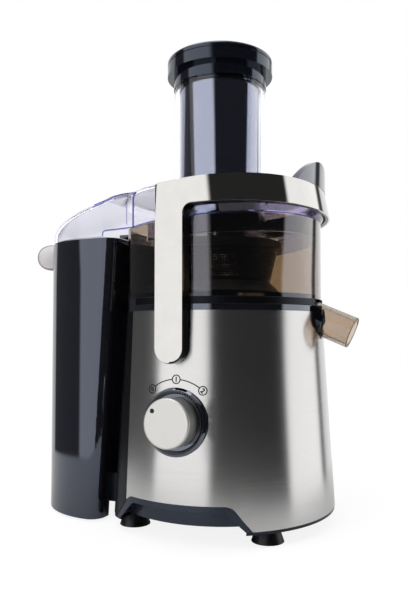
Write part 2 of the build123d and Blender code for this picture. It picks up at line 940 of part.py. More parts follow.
# Locking arm: its side view is a leg with a band that rises towards the spout
arm_half = leg_width / 2
arm_side_reach = bowl_radius + arm_depth + leg_width
arm_rise = tan(radians(band_top_slope))
arm_drop = tan(radians(band_bottom_slope))
arm_lean = tan(radians(band_lean))
arm_end = lid_radius + lid_inset
arm_end_level = band_top + arm_end * arm_rise


# The arm's plan as a solid: straight beside the legs and half an oval round the lid, leaning in upwards
def arm_form(along, across):
    with BuildPart() as form:
        for level in (pivot_height - leg_width, arm_end_level + leg_width):
            spread = along - band_straight + (arm_end_level - level) * arm_lean
            with BuildSketch(Plane.XY.offset(level)):
                with BuildLine():
                    oval = EllipticalCenterArc((band_straight, 0), spread, across, -90, arc_size=180)
                    Polyline(oval @ 1, (-leg_width, across), (-leg_width, -across), oval @ 0)
                make_face()
        loft(ruled=True)
    return form.part


# The arm's side view as a block, with the leg widened towards the bin by a lip
def arm_side(lip):
    left = -arm_half - lip
    with BuildPart() as form:
        with BuildSketch(Plane.XZ) as outline:
            with BuildLine():
                Polyline(
                    (left, pivot_height),
                    (left, band_top + left * arm_rise),
                    (arm_side_reach, band_top + arm_side_reach * arm_rise),
                    (arm_side_reach, band_bottom + arm_side_reach * arm_drop),
                    (arm_half, band_bottom + arm_half * arm_drop),
                    (arm_half, pivot_height),
                    close=True,
                )
            make_face()
            inner_bend = (arm_half, band_bottom + arm_half * arm_drop, 0)
            outer_bend = (left, band_top + left * arm_rise, 0)
            fillet(outline.vertices().sort_by_distance(inner_bend)[0], band_corner)
            fillet(outline.vertices().sort_by_distance(outer_bend)[0], leg_corner)
            with Locations((-lip / 2, pivot_height)):
                Circle(arm_half + lip / 2)
        extrude(amount=far, both=True)
    return form.part


# Silver face of the arm
cover_inner = arm_end + band_thickness - band_face
with BuildPart() as arm_cover:
    add(arm_form(arm_end + band_thickness, arm_outer))
    add(arm_form(cover_inner, arm_outer - arm_face), mode=Mode.SUBTRACT)
    add(arm_side(0), mode=Mode.INTERSECT)

# Black inner side of the arm, kept clear of the casing as it swings
pivot_clear = casing_radius(pivot_height - arm_half) + 2 * slip
with BuildPart() as arm_frame:
    add(arm_form(cover_inner - fit, arm_outer - arm_face - fit))
    add(arm_form(arm_end, arm_inner), mode=Mode.SUBTRACT)
    add(arm_side(frame_lip), mode=Mode.INTERSECT)
    with BuildSketch(Plane.XY):
        Rectangle(2 * far, 2 * pivot_clear)
    extrude(amount=pivot_height + leg_width, mode=Mode.SUBTRACT)
    with BuildSketch(Plane.XZ):
        with Locations((0, pivot_height)):
            Circle(pivot_radius + fit)
    extrude(amount=far, both=True, mode=Mode.SUBTRACT)

# Black fin on the band to lift the arm by
with BuildPart() as grip_profile:
    with BuildSketch(Plane.YZ):
        with BuildLine():
            low = arm_end_level - grip_height
            Line((grip_half, low), (-grip_half, low))
            Bezier(
                (-grip_half, low),
                (-grip_half, arm_end_level),
                (-grip_half / 2, arm_end_level + grip_height),
                (0, arm_end_level + grip_height),
                (grip_half / 2, arm_end_level + grip_height),
                (grip_half, arm_end_level),
                (grip_half, low),
            )
        make_face()
    extrude(amount=far)

with BuildPart() as arm_grip:
    for along, across, way in (
        (arm_end + grip_thickness - band_straight, arm_outer, Mode.ADD),
        (arm_end - band_straight, arm_inner, Mode.SUBTRACT),
    ):
        with BuildSketch(Plane.XY.offset(band_top)):
            with BuildLine():
                bow = EllipticalCenterArc((band_straight, 0), along, across, -90, arc_size=180)
                Line(bow @ 1, bow @ 0)
            make_face()
        extrude(amount=far, mode=way)
    add(grip_profile.part, mode=Mode.INTERSECT)
    split(
        bisect_by=Plane(origin=(0, 0, band_top), x_dir=(0, 1, 0), z_dir=(-arm_rise, 0, 1)),
        keep=Keep.TOP,
    )

# Pins that the arm swings on, and their bushes in the casing
pin_inner = casing_radius(pivot_height) - 2 * inner_inset - slip * 10
with BuildPart() as arm_pivots:
    with BuildSketch(Plane.XZ.offset(pin_inner)):
        with Locations((0, pivot_height)):
            Circle(pivot_radius)
    extrude(amount=arm_outer - arm_face - 2 * fit - pin_inner)
    mirror(about=Plane.XZ)

with BuildPart() as pivot_bushes:
    with BuildSketch(Plane.XZ.offset(pin_inner + bush_wall)):
        with Locations((0, pivot_height)):
            Circle(bush_outer)
            Circle(pivot_radius + running, mode=Mode.SUBTRACT)
    extrude(amount=pivot_clear - slip - pin_inner - bush_wall)
    mirror(about=Plane.XZ)

# Lid: a drum over the bowl and a canopy over the pulp bin
canopy_radius = bin_radius - canopy_gap
canopy_end = -lid_radius / 2
canopy_top = lid_top - canopy_drop
canopy_fold = -bin_inner - bin_corner


# The drum's outer form, moved in by an inset and reaching down into the bowl
def drum_form(inset):
    with BuildPart() as form:
        with BuildSketch(Plane.XY.offset(collar_top)):
            Circle(lid_radius - inset)
        extrude(amount=lid_top - inset - collar_top)
        fillet(form.edges().group_by(Axis.Z)[-1], lid_round - inset)
    return form.part


# The canopy's outer form, moved in by an inset, down by a drop and on under the drum by a run
def canopy_form(inset, drop, run):
    width = canopy_radius - inset
    end = canopy_end + run
    end_width = width + (end - canopy_fold) * tan(radians(canopy_flare))
    with BuildPart() as form:
        with BuildSketch(Plane.XY.offset(canopy_bottom - drop)):
            with BuildLine():
                bow = CenterArc((bin_center, 0), width, 90, 180)
                Polyline(
                    bow @ 1,
                    (canopy_fold, -width),
                    (end, -end_width),
                    (end, end_width),
                    (canopy_fold, width),
                    bow @ 0,
                )
            make_face()
        extrude(amount=lid_height + tube_height)
        roof_plane = Plane(
            origin=(canopy_fold, 0, canopy_top),
            x_dir=(0, 1, 0),
            z_dir=(-sin(radians(canopy_slope)), 0, cos(radians(canopy_slope))),
        )
        split(bisect_by=roof_plane.offset(-inset), keep=Keep.BOTTOM)
        roof = form.faces().sort_by(Axis.Z)[-1]
        fillet(roof.edges().filter_by(Axis.Y, reverse=True), canopy_round - inset)
        split(bisect_by=Plane.XY.offset(canopy_top - inset), keep=Keep.BOTTOM)
    return form.part


# A ring of the lid between two planes along the seam, left open towards the canopy
def seam_ring(inner, outer, bottom, top):
    with BuildPart() as piece:
        add(ring(inner, outer, collar_top, lid_top))
        split(bisect_by=seam.offset(bottom), keep=Keep.TOP)
        split(bisect_by=seam.offset(top), keep=Keep.BOTTOM)
        split(bisect_by=Plane.YZ.offset(corner_radius - bowl_flat), keep=Keep.TOP)
    return piece.part


skirt_outer = bowl_bore - 2 * slip
skirt_inner = skirt_outer - lid_skirt_wall
with BuildPart() as lid_cover:
    add(drum_form(0))
    split(bisect_by=seam.offset(fit), keep=Keep.TOP)
    add(canopy_form(0, 0, 0))
    add(drum_form(lid_wall), mode=Mode.SUBTRACT)
    add(canopy_form(lid_wall, lid_wall, -canopy_end), mode=Mode.SUBTRACT)
    with BuildSketch(Plane.XZ) as step_outline:
        with Locations((canopy_fold, canopy_bottom + canopy_step)):
            Rectangle(canopy_end - canopy_fold, lid_height, align=(Align.MIN, Align.MAX))
        fillet(step_outline.vertices().group_by(Axis.Y)[-1].sort_by(Axis.X)[0], lid_wall)
    extrude(amount=far, both=True, mode=Mode.SUBTRACT)
    add(seam_ring(skirt_inner, skirt_outer, -lid_skirt_depth, lid_skirt_wall))
    add(seam_ring(skirt_inner, lid_radius - lid_wall / 2, fit, lid_skirt_wall))
    add(ring(0, tube_radius + fit, bowl_top, lid_top + lid_wall), mode=Mode.SUBTRACT)

with BuildPart() as feed_tube:
    add(ring(tube_radius - tube_wall, tube_radius, tube_bottom, tube_top))
    add(ring(tube_radius - tube_wall / 2, tube_radius + tube_flange, lid_top, lid_top + tube_flange_height))

# Pusher: a hollow plunger with a stepped cap that rests on the tube
pusher_radius = tube_radius - tube_wall - pusher_gap
pusher_bottom = tube_top - pusher_length
with BuildPart() as pusher_body:
    add(ring(0, pusher_radius, pusher_bottom, tube_top))
    add(ring(0, pusher_radius - pusher_wall, pusher_bottom + pusher_wall, tube_top), mode=Mode.SUBTRACT)

rim_top = tube_top + collar_rim_height
with BuildPart() as pusher_cap:
    add(ring(0, collar_rim_radius, tube_top, rim_top))
    add(ring(0, cap_radius, rim_top, rim_top + cap_height))
    fillet(pusher_cap.edges().group_by(Axis.Z)[-1], cap_round)
    groove_top = rim_top + cap_height - groove_drop
    add(
        ring(cap_radius - groove_depth, cap_radius + groove_depth, groove_top - groove_width, groove_top),
        mode=Mode.SUBTRACT,
    )


# The pulp bin's outer form, moved in by an inset: half round outside, flat and leaning towards the base
def bin_form(inset, bottom, top):
    width = bin_radius - inset
    with BuildPart() as form:
        with BuildSketch(Plane.XY.offset(bottom)):
            with Locations((bin_center, 0)):
                Circle(width)
                Rectangle(2 * bin_straight, 2 * width, align=(Align.MIN, Align.CENTER))
        extrude(amount=top - bottom)
        inner_side = Plane(
            origin=(-bin_inner, 0, bin_top),
            x_dir=(0, 1, 0),
            z_dir=(cos(lean), 0, -sin(lean)),
        )
        split(bisect_by=inner_side.offset(-inset), keep=Keep.BOTTOM)
        corners = form.faces().sort_by(Axis.X)[-1].edges().filter_by(Axis.Y, reverse=True)
        fillet(corners, bin_corner - inset)
    return form.part


with BuildPart() as bin_hollow:
    add(bin_form(bin_wall, bin_lift + bin_wall, bin_top + bin_wall))
    add(shelf_form(slip + bin_wall, 0), mode=Mode.SUBTRACT)

with BuildPart() as pulp_bin:
    add(bin_form(0, bin_lift, bin_top))
    add(shelf_form(slip, 0), mode=Mode.SUBTRACT)
    add(bin_hollow.part, mode=Mode.SUBTRACT)

# Silver thumb grip, a thick round with a full edge that stands out from the top of the bin
thumb_middle = bin_center - bin_radius - thumb_stand
with BuildPart() as bin_grip:
    with BuildSketch(Plane.XY.offset(bin_top - thumb_drop)):
        with Locations((thumb_middle, 0)):
            Circle(thumb_radius)
    extrude(amount=thumb_rise, both=True)
    fillet(bin_grip.edges(), thumb_rise - thumb_edge)
    with BuildSketch(Plane.XY):
        with Locations((bin_center, 0)):
            Circle(bin_radius)
    extrude(amount=bin_top + thumb_rise, mode=Mode.SUBTRACT)

# Each piece is written out with the origin under the middle of the whole
front = casing_radius(knob_level) + knob_top * cos(lean) + knob_face * sin(lean)
spout_tip = spout_reach + spout_radius * sin(radians(spout_slope))
bin_tip = thumb_middle - thumb_radius
to_frame = Location((-(spout_tip + bin_tip) / 2, (front - arm_outer) / 2, 0))

pieces = {
    "steel_wrap": steel_wrap,
    "base_housing": base_housing,
    "front_trim": front_trim,
    "bottom_plate": bottom_plate,
    "plate_screws": plate_screws,
    "rubber_feet": rubber_feet,
    "bin_shelf": bin_shelf,
    "top_deck": top_deck,
    "spout_saddle": spout_saddle,
    "cord_gland": cord_gland,
    "knob_bezel": knob_bezel,
    "control_knob": control_knob,
    "switch_spindle": switch_spindle,
    "switch_body": switch_body,
    "interlock_switch": interlock_switch,
    "motor_stator": motor_stator,
    "upper_bracket": upper_bracket,
    "lower_bracket": lower_bracket,
    "upper_bearing": upper_bearing,
    "lower_bearing": lower_bearing,
    "motor_bolts": motor_bolts,
    "motor_bushes": motor_bushes,
    "commutator": commutator,
    "brush_holders": brush_holders,
    "motor_rotor": motor_rotor,
    "cooling_fan": cooling_fan,
    "motor_shaft": motor_shaft,
    "shaft_seal": shaft_seal,
    "drive_coupling": drive_coupling,
    "basket_hub": basket_hub,
    "filter_basket": filter_basket,
    "basket_rim": basket_rim,
    "grating_disc": grating_disc,
    "juice_bowl": juice_bowl,
    "juice_spout": juice_spout,
    "arm_cover": arm_cover,
    "arm_frame": arm_frame,
    "arm_grip": arm_grip,
    "arm_pivots": arm_pivots,
    "pivot_bushes": pivot_bushes,
    "lid_cover": lid_cover,
    "feed_tube": feed_tube,
    "pusher_body": pusher_body,
    "pusher_cap": pusher_cap,
    "pulp_bin": pulp_bin,
    "bin_grip": bin_grip,
}
for name, piece in pieces.items():
    placed = to_frame * piece.part
    placed.label = name
    export_step(placed, f"parts/{name}.step")
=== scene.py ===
# Looks for the countertop juicer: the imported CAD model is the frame, everything here dresses it.
import math

import bmesh
import bpy
from mathutils import Matrix, Vector


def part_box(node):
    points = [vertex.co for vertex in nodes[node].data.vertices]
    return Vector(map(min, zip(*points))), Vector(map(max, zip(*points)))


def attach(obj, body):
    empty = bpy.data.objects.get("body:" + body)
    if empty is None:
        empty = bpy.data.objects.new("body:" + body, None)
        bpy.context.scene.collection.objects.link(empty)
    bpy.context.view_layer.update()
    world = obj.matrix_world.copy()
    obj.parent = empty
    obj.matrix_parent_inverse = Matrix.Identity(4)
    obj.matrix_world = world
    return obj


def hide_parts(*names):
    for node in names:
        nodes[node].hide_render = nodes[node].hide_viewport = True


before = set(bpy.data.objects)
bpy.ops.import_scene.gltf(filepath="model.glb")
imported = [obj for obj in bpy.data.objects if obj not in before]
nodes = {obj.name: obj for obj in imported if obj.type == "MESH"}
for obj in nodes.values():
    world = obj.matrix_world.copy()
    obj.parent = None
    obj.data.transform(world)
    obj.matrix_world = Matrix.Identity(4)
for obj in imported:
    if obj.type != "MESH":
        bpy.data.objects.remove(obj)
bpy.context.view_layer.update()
scene = bpy.context.scene
mm = 0.001  # pieces are written in millimetres and multiplied by this; the studio is in metres
print("frame loaded:", len(nodes), "CAD nodes")


def tone(hexCode):  # sRGB hex to the linear colour that shaders want
    code = hexCode.lstrip("#")
    channels = [int(code[i:i + 2], 16) / 255 for i in (0, 2, 4)]
    linear = [c / 12.92 if c <= 0.04045 else ((c + 0.055) / 1.055) ** 2.4 for c in channels]
    return (*linear, 1.0)


def addNode(tree, kind, settings=None, links=None):  # one node, its settings and what feeds it
    node = tree.nodes.new(kind)
    for key, value in (settings or {}).items():
        if isinstance(key, int) or key in node.inputs.keys():
            node.inputs[key].default_value = value
        else:
            setattr(node, key, value)
    for key, source in (links or {}).items():
        tree.links.new(source, node.inputs[key])
    return node


def emptyTree(owner):  # the node tree of a material or world, cleared
    owner.use_nodes = True
    owner.node_tree.nodes.clear()
    return owner.node_tree


def newMaterial(name, shader):  # a material with its Principled shader set up
    material = bpy.data.materials.new(name)
    tree = emptyTree(material)
    surface = addNode(tree, "ShaderNodeBsdfPrincipled", shader)
    addNode(tree, "ShaderNodeOutputMaterial", None, {"Surface": surface.outputs["BSDF"]})
    return material, tree, surface


def perMetre(sizeMm):  # texture scale for a pattern whose cells are this many millimetres wide
    return 1.0 / (sizeMm * mm)


def plasticGloss(look, skin):  # gloss of a plastic and of the skin that a polished tool leaves on it
    return {"IOR": look["ior"], "Specular IOR Level": look.get("specular", 0.5),
            "Specular Tint": tone(look.get("gloss", "#FFFFFF")), "Coat Weight": look.get("coat", 0.0),
            "Coat Roughness": skin["coatRough"], "Coat IOR": look.get("coatIor", skin["coatIor"])}


def turnedAway(tree, reach, near=0.0, away=1.0):  # a value that changes where a surface turns from the eye
    facing = addNode(tree, "ShaderNodeLayerWeight", {"Blend": 0.5})
    share = addNode(tree, "ShaderNodeMapRange", {
        "From Min": reach[0], "From Max": reach[1], "To Min": near, "To Max": away},
        {"Value": facing.outputs["Facing"]})
    return share.outputs["Result"]


# Two close tones and a roughness that drift with one pattern, and a relief from another; gives back the tone
def unevenSurface(tree, surface, look, drift, relief, strength, reliefMm):
    tint = addNode(tree, "ShaderNodeMix", {
        "data_type": "RGBA", 6: tone(look["dark"]), 7: tone(look["light"])}, {0: drift})
    rough = addNode(tree, "ShaderNodeMapRange", {"To Min": look["rough"][0], "To Max": look["rough"][1]},
                    {"Value": drift})
    bump = addNode(tree, "ShaderNodeBump", {"Strength": strength, "Distance": reliefMm * mm},
                   {"Height": relief})
    tree.links.new(rough.outputs["Result"], surface.inputs["Roughness"])
    tree.links.new(bump.outputs["Normal"], surface.inputs["Normal"])
    return tint.outputs[2]


# Moulded plastics: two close colours in soft clouds, a little roughness drift, and the tool's fine grain
mouldedSkin = {"coatRough": 0.03, "coatIor": 1.8, "reliefMm": 0.05}


def mouldedPlastic(name, look):
    material, tree, surface = newMaterial(name, plasticGloss(look, mouldedSkin))
    coord = addNode(tree, "ShaderNodeTexCoord")
    cloud = addNode(tree, "ShaderNodeTexNoise", {"Scale": perMetre(look["cloudMm"]), "Detail": 3.0},
                    {"Vector": coord.outputs["Object"]})
    grain = addNode(tree, "ShaderNodeTexNoise", {"Scale": perMetre(look["grainMm"]), "Detail": 2.0},
                    {"Vector": coord.outputs["Object"]})
    tint = unevenSurface(tree, surface, look, cloud.outputs["Fac"], grain.outputs["Fac"], look["grain"],
                         mouldedSkin["reliefMm"])
    # an edge shade is painted shade: the tint darkens towards it where the surface turns from the eye
    if "flop" in look:
        edgeShaded = addNode(tree, "ShaderNodeMix", {"data_type": "RGBA", 7: tone(look["flop"])},
                          {0: turnedAway(tree, look["along"]), 6: tint})
        tint = edgeShaded.outputs[2]
    tree.links.new(tint, surface.inputs["Base Color"])
    return material


# Clear mouldings: light passes, the wall tints it, most where it is seen along its length; flow marks bend it
clearSkin = {"coatRough": 0.02, "coatIor": 1.5, "reliefMm": 0.05}


def clearPlastic(name, look):
    material, tree, surface = newMaterial(name, {
        "Transmission Weight": 1.0, **plasticGloss(look, clearSkin)})
    coord = addNode(tree, "ShaderNodeTexCoord")
    flow = addNode(tree, "ShaderNodeTexNoise", {"Scale": perMetre(look["flowMm"]), "Detail": 1.0},
                   {"Vector": coord.outputs["Object"]})
    tint = unevenSurface(tree, surface, look, flow.outputs["Fac"], flow.outputs["Fac"], look["wave"],
                         clearSkin["reliefMm"])
    along = []  # where the wall is seen along its length
    if "deep" in look:
        along.append(turnedAway(tree, look["along"]))
    if "floor" in look:  # a floor always is
        parts = addNode(tree, "ShaderNodeSeparateXYZ", None, {"Vector": coord.outputs["Object"]})
        under = addNode(tree, "ShaderNodeMath", {"operation": "LESS_THAN", 1: look["floor"]},
                        {0: parts.outputs["Z"]})
        along.append(under.outputs[0])
    for share in along:
        deeper = addNode(tree, "ShaderNodeMix", {"data_type": "RGBA", 7: tone(look["deep"])},
                         {0: share, 6: tint})
        tint = deeper.outputs[2]
    if "milk" in look:  # along an edge the plastic scatters more light than it lets through
        clear = turnedAway(tree, look["milk"], 1.0, look["milkClear"])
        tree.links.new(clear, surface.inputs["Transmission Weight"])
    tree.links.new(tint, surface.inputs["Base Color"])
    return material


# Metals: fine lines or grains in roughness and bump, metallic all over
metalSkin = {"reliefMm": 0.03}


def workedMetal(name, look):
    material, tree, surface = newMaterial(name, {
        "Metallic": 1.0, "Anisotropic": look.get("stretch", 0.0),
        "Anisotropic Rotation": look.get("turn", 0.0)})
    coord = addNode(tree, "ShaderNodeTexCoord")
    line = look["lineMm"]  # spacing of the tool marks along x, y and z
    place = addNode(tree, "ShaderNodeMapping", {"Scale": tuple(perMetre(size) for size in line)},
                    {"Vector": coord.outputs["Object"]})
    marks = addNode(tree, "ShaderNodeTexNoise", {"Scale": 1.0, "Detail": 2.0, "Roughness": 0.6},
                    {"Vector": place.outputs["Vector"]})
    tint = unevenSurface(tree, surface, look, marks.outputs["Fac"], marks.outputs["Fac"], look["grain"],
                         metalSkin["reliefMm"])
    tree.links.new(tint, surface.inputs["Base Color"])
    if "stretch" in look:  # the brush ran round the casing
        tangent = addNode(tree, "ShaderNodeTangent", {"direction_type": "RADIAL", "axis": "Z"})
        tree.links.new(tangent.outputs["Tangent"], surface.inputs["Tangent"])
    return material


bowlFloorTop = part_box("juice_bowl")[0].z + 9.5 * mm  # below this the bowl shows its floor

looks = {
    # stainless sheet, brushed round the casing: soft upright bands of light with fine level lines,
    # drawn coarser than the brush left them so that they show
    "brushedStainless": (workedMetal, {
        "dark": "#BAB9B9", "light": "#C8C7C6", "rough": (0.2, 0.26), "grain": 0.08, "lineMm": (40, 40, 0.4),
        "stretch": 0.6, "turn": 0.25}),
    # chrome on ABS: a clear, slightly warm mirror
    "brightChrome": (workedMetal, {
        "dark": "#BDBBB8", "light": "#C6C4C1", "rough": (0.04, 0.07), "grain": 0.01, "lineMm": (12, 12, 12)}),
    # silver-painted ABS: pale, with flakes under a satin lacquer, drawn coarser than real so that they show
    "satinSilver": (workedMetal, {
        "dark": "#BBB9B6", "light": "#D0CFCC", "rough": (0.36, 0.46), "grain": 0.05,
        "lineMm": (0.5, 0.5, 0.5)}),
    # stainless punched and rolled for the basket, a little dulled; painted near black, as painted shade for
    # the shadow it sits in deep inside the bowl
    "sieveSteel": (workedMetal, {
        "dark": "#121214", "light": "#1E1F22", "rough": (0.22, 0.36), "grain": 0.1, "lineMm": (2, 2, 2)}),
    # turned or ground steel for pins, screws and shafts: cool grey with fine level lines
    "machinedSteel": (workedMetal, {
        "dark": "#8F9194", "light": "#B3B5B8", "rough": (0.22, 0.34), "grain": 0.12, "lineMm": (6, 6, 0.4)}),
    # stacked core plates with varnished edges: dark grey in thin layers
    "coreLaminations": (workedMetal, {
        "dark": "#4A4C50", "light": "#6E7175", "rough": (0.4, 0.6), "grain": 0.6, "lineMm": (40, 40, 0.6)}),
    # die-cast aluminium: pale grey with a dull skin
    "castAluminium": (workedMetal, {
        "dark": "#8A8C8E", "light": "#A8AAAC", "rough": (0.42, 0.58), "grain": 0.5,
        "lineMm": (1.2, 1.2, 1.2)}),
    # hard-drawn copper, browned by the brushes: a dull warm red
    "motorCopper": (workedMetal, {
        "dark": "#8A5234", "light": "#B87850", "rough": (0.3, 0.45), "grain": 0.2, "lineMm": (3, 3, 0.5)}),
    # black ABS from a satin tool: deep black with a soft, faintly blue sheen
    "satinBlackAbs": (mouldedPlastic, {
        "dark": "#08080A", "light": "#0E0E12", "rough": (0.18, 0.28), "grain": 0.1, "grainMm": 0.4,
        "cloudMm": 25, "ior": 1.45, "gloss": "#DDE6FF"}),
    # the casing's black ABS, textured: hardly any sheen
    "dullBlackAbs": (mouldedPlastic, {
        "dark": "#060608", "light": "#0B0B0E", "rough": (0.28, 0.38), "grain": 0.2, "grainMm": 0.5,
        "cloudMm": 25, "ior": 1.3, "gloss": "#DDE6FF"}),
    # black ABS from a polished tool: blue-grey mirror gloss over black
    "glossBlackAbs": (mouldedPlastic, {
        "dark": "#08080B", "light": "#0E0F14", "rough": (0.04, 0.08), "grain": 0.01, "grainMm": 0.6,
        "cloudMm": 40, "ior": 2.0, "gloss": "#D6E4FF", "coat": 0.5}),
    # the bin's black ABS: gloss over a slightly blue black
    "binBlackAbs": (mouldedPlastic, {
        "dark": "#141419", "light": "#1A1A20", "rough": (0.04, 0.08), "grain": 0.015, "grainMm": 0.6,
        "cloudMm": 50, "ior": 1.9, "gloss": "#DCE6FF"}),
    # the pusher's navy black: bright gloss with a blue cast
    "navyBlackAbs": (mouldedPlastic, {
        "dark": "#090B14", "light": "#0E111C", "rough": (0.03, 0.06), "grain": 0.01, "grainMm": 0.6,
        "cloudMm": 40, "ior": 2.7, "gloss": "#C6DAFF", "coat": 1.0, "coatIor": 2.4}),
    # the same black on the pusher's cap, from a less polished tool: softer gloss
    "capBlackAbs": (mouldedPlastic, {
        "dark": "#0A0B11", "light": "#10121A", "rough": (0.07, 0.12), "grain": 0.02, "grainMm": 0.5,
        "cloudMm": 30, "ior": 1.7, "gloss": "#D6E4FF"}),
    # silver flake paint on the bin's grip: pale grey face on; near black where the surface turns from the
    # eye, a painted shade standing in for the dark room it reflects along its rim
    "flakeSilver": (mouldedPlastic, {
        "dark": "#D2CCD0", "light": "#DED9DC", "rough": (0.3, 0.4), "grain": 0.05, "grainMm": 0.4,
        "cloudMm": 15, "ior": 1.4, "specular": 0.3, "flop": "#1C1B20", "along": (0.62, 0.85)}),
    # slate ABS for the arch panel: dark blue-grey satin
    "slateAbs": (mouldedPlastic, {
        "dark": "#1A1F28", "light": "#232934", "rough": (0.22, 0.32), "grain": 0.12, "grainMm": 0.35,
        "cloudMm": 20, "ior": 1.5, "gloss": "#DDE8FF"}),
    # nitrile rubber: flat black that swallows light
    "footRubber": (mouldedPlastic, {
        "dark": "#050506", "light": "#0A0A0C", "rough": (0.3, 0.42), "grain": 0.25, "grainMm": 0.3,
        "cloudMm": 8, "ior": 1.4}),
    # glass-filled nylon for hub, rim and drive: charcoal with a dull skin
    "charcoalNylon": (mouldedPlastic, {
        "dark": "#08080A", "light": "#101013", "rough": (0.3, 0.42), "grain": 0.3, "grainMm": 0.5,
        "cloudMm": 12, "ior": 1.5}),
    # printing ink on the steel and paint in the knob's dimple: flat near-black
    "dialInk": (mouldedPlastic, {
        "dark": "#101014", "light": "#18181C", "rough": (0.45, 0.6), "grain": 0.1, "grainMm": 0.2,
        "cloudMm": 3, "ior": 1.4}),
    # smoky copolyester for the bowl: amber-grey, clear, with a bluish gloss; nearly black along the wall
    "smokyCopolyester": (clearPlastic, {
        "dark": "#B5A38C", "light": "#BBAA94", "rough": (0.01, 0.03), "wave": 0.02, "flowMm": 35, "ior": 1.45,
        "specular": 0.9, "gloss": "#B8D0FF", "coat": 0.8, "coatIor": 1.7, "deep": "#33261A",
        "along": (0.56, 0.72), "floor": bowlFloorTop}),
    # the same copolyester in the spout's thinner wall: paler
    "paleCopolyester": (clearPlastic, {
        "dark": "#CDC0B1", "light": "#D8CCBF", "rough": (0.06, 0.12), "wave": 0.02, "flowMm": 12, "ior": 1.3,
        "gloss": "#B8D0FF", "deep": "#54463A", "along": (0.4, 0.8)}),
    # clear SAN for the feed tube: water clear with a violet cast
    "clearSan": (clearPlastic, {
        "dark": "#F3F3FB", "light": "#F8F8FD", "rough": (0.005, 0.02), "wave": 0.015, "flowMm": 45,
        "ior": 1.2, "coat": 0.6, "deep": "#DCDAF0", "along": (0.8, 0.95)}),
    # the same SAN in the lid, as thin as glass: hardly bends what is behind it, violet along the wall
    "lidSan": (clearPlastic, {
        "dark": "#F3F3FB", "light": "#F8F8FD", "rough": (0.005, 0.02), "wave": 0.015, "flowMm": 45,
        "ior": 1.06, "coat": 0.35, "coatIor": 1.45, "deep": "#A8A4E4", "along": (0.8, 0.95),
        "milk": (0.68, 0.86), "milkClear": 0.2}),
    # the lid's flange under the arm, lit from below: milky lilac
    "lilacSan": (clearPlastic, {
        "dark": "#A397BE", "light": "#C0B6D0", "rough": (0.05, 0.12), "wave": 0.05, "flowMm": 14, "ior": 1.25,
        "coat": 0.4}),
    # the lid's skirt seen through the bowl: two walls deep, so greyer than the lid
    "greySan": (clearPlastic, {
        "dark": "#A29BB6", "light": "#ADA6C0", "rough": (0.02, 0.05), "wave": 0.02, "flowMm": 30,
        "ior": 1.1}),
    # painted shade: a violet-black line on the skirt's lower edge, for the dark line where the lid's edge
    # meets the bowl's lip
    "duskSan": (clearPlastic, {
        "dark": "#262434", "light": "#322F44", "rough": (0.02, 0.05), "wave": 0.02, "flowMm": 20,
        "ior": 1.3}),
    # the same SAN seen along a rib or rim, where the depth of plastic turns it violet blue
    "violetSan": (clearPlastic, {
        "dark": "#6C68CC", "light": "#7A77D6", "rough": (0.02, 0.05), "wave": 0.02, "flowMm": 20,
        "ior": 1.3}),
}
finishes = {name: make(name, look) for name, (make, look) in looks.items()}
print("finishes made:", len(finishes))

nodeFinish = {
    "brushedStainless": ["steel_wrap"],
    "brightChrome": ["arm_cover"],
    "satinSilver": ["control_knob"],
    "flakeSilver": ["bin_grip"],
    "sieveSteel": ["filter_basket", "grating_disc"],
    "machinedSteel": ["arm_pivots", "plate_screws", "upper_bearing", "lower_bearing", "motor_bolts",
                      "motor_shaft"],
    "coreLaminations": ["motor_stator", "motor_rotor"],
    "castAluminium": ["upper_bracket", "lower_bracket"],
    "motorCopper": ["commutator", "brush_holders"],
    "satinBlackAbs": ["bottom_plate", "bin_shelf", "arm_frame", "spout_saddle"],
    "dullBlackAbs": ["base_housing"],
    "glossBlackAbs": ["knob_bezel", "arm_grip", "top_deck"],
    "binBlackAbs": ["pulp_bin"],
    "navyBlackAbs": ["pusher_body"],
    "capBlackAbs": ["pusher_cap"],
    "slateAbs": ["front_trim"],
    "footRubber": ["rubber_feet", "cord_gland", "motor_bushes", "shaft_seal"],
    "charcoalNylon": ["basket_hub", "basket_rim", "drive_coupling", "cooling_fan", "switch_spindle",
                      "switch_body", "interlock_switch", "pivot_bushes"],
    "smokyCopolyester": ["juice_bowl"],
    "paleCopolyester": ["juice_spout"],
    "clearSan": ["feed_tube"],
    "lidSan": ["lid_cover"],
}
for finish, names in nodeFinish.items():
    for name in names:
        for slot in nodes[name].material_slots:
            slot.material = finishes[finish]
print("CAD nodes dressed:", sum(map(len, nodeFinish.values())))


# The drive axis and the casing's cone, read from the frame
tubeLow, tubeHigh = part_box("feed_tube")
axisX = (tubeLow.x + tubeHigh.x) / 2
axisY = (tubeLow.y + tubeHigh.y) / 2
steelLow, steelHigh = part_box("steel_wrap")
casing = {"taper": math.tan(math.radians(3.34)), "footRadius": steelHigh.x - axisX, "footLevel": steelLow.z}
knobLevel = sum(corner.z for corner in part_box("knob_bezel")) / 2


def onCasing(along, level, lift):  # a place on the casing: way round from the front, level, height above
    radius = casing["footRadius"] - (level - casing["footLevel"]) * casing["taper"]
    turn = along / radius
    return Vector((axisX + (radius + lift) * math.sin(turn), axisY - (radius + lift) * math.cos(turn), level))


def fromAxis(x, y, z):  # a place given in millimetres from the drive axis and the table
    return Vector((axisX + x * mm, axisY + y * mm, z * mm))


def roundAxis(r, turn, z):
    return fromAxis(r * math.cos(turn), r * math.sin(turn), z)


def anglesBetween(start, end, steps):  # degrees to radians, with both ends
    return [math.radians(start + (end - start) * i / steps) for i in range(steps + 1)]


def fullTurn(steps):
    return anglesBetween(0, 360, steps)[:-1]


def addPiece(name, mesh, finish, body, slot, *stands):  # a finished mesh as a piece that rides on a body
    mesh.name = name
    mesh.materials.clear()
    mesh.materials.append(finishes[finish])
    piece = bpy.data.objects.new(name, mesh)
    scene.collection.objects.link(piece)
    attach(piece, body)
    for node in stands:
        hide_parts(node)


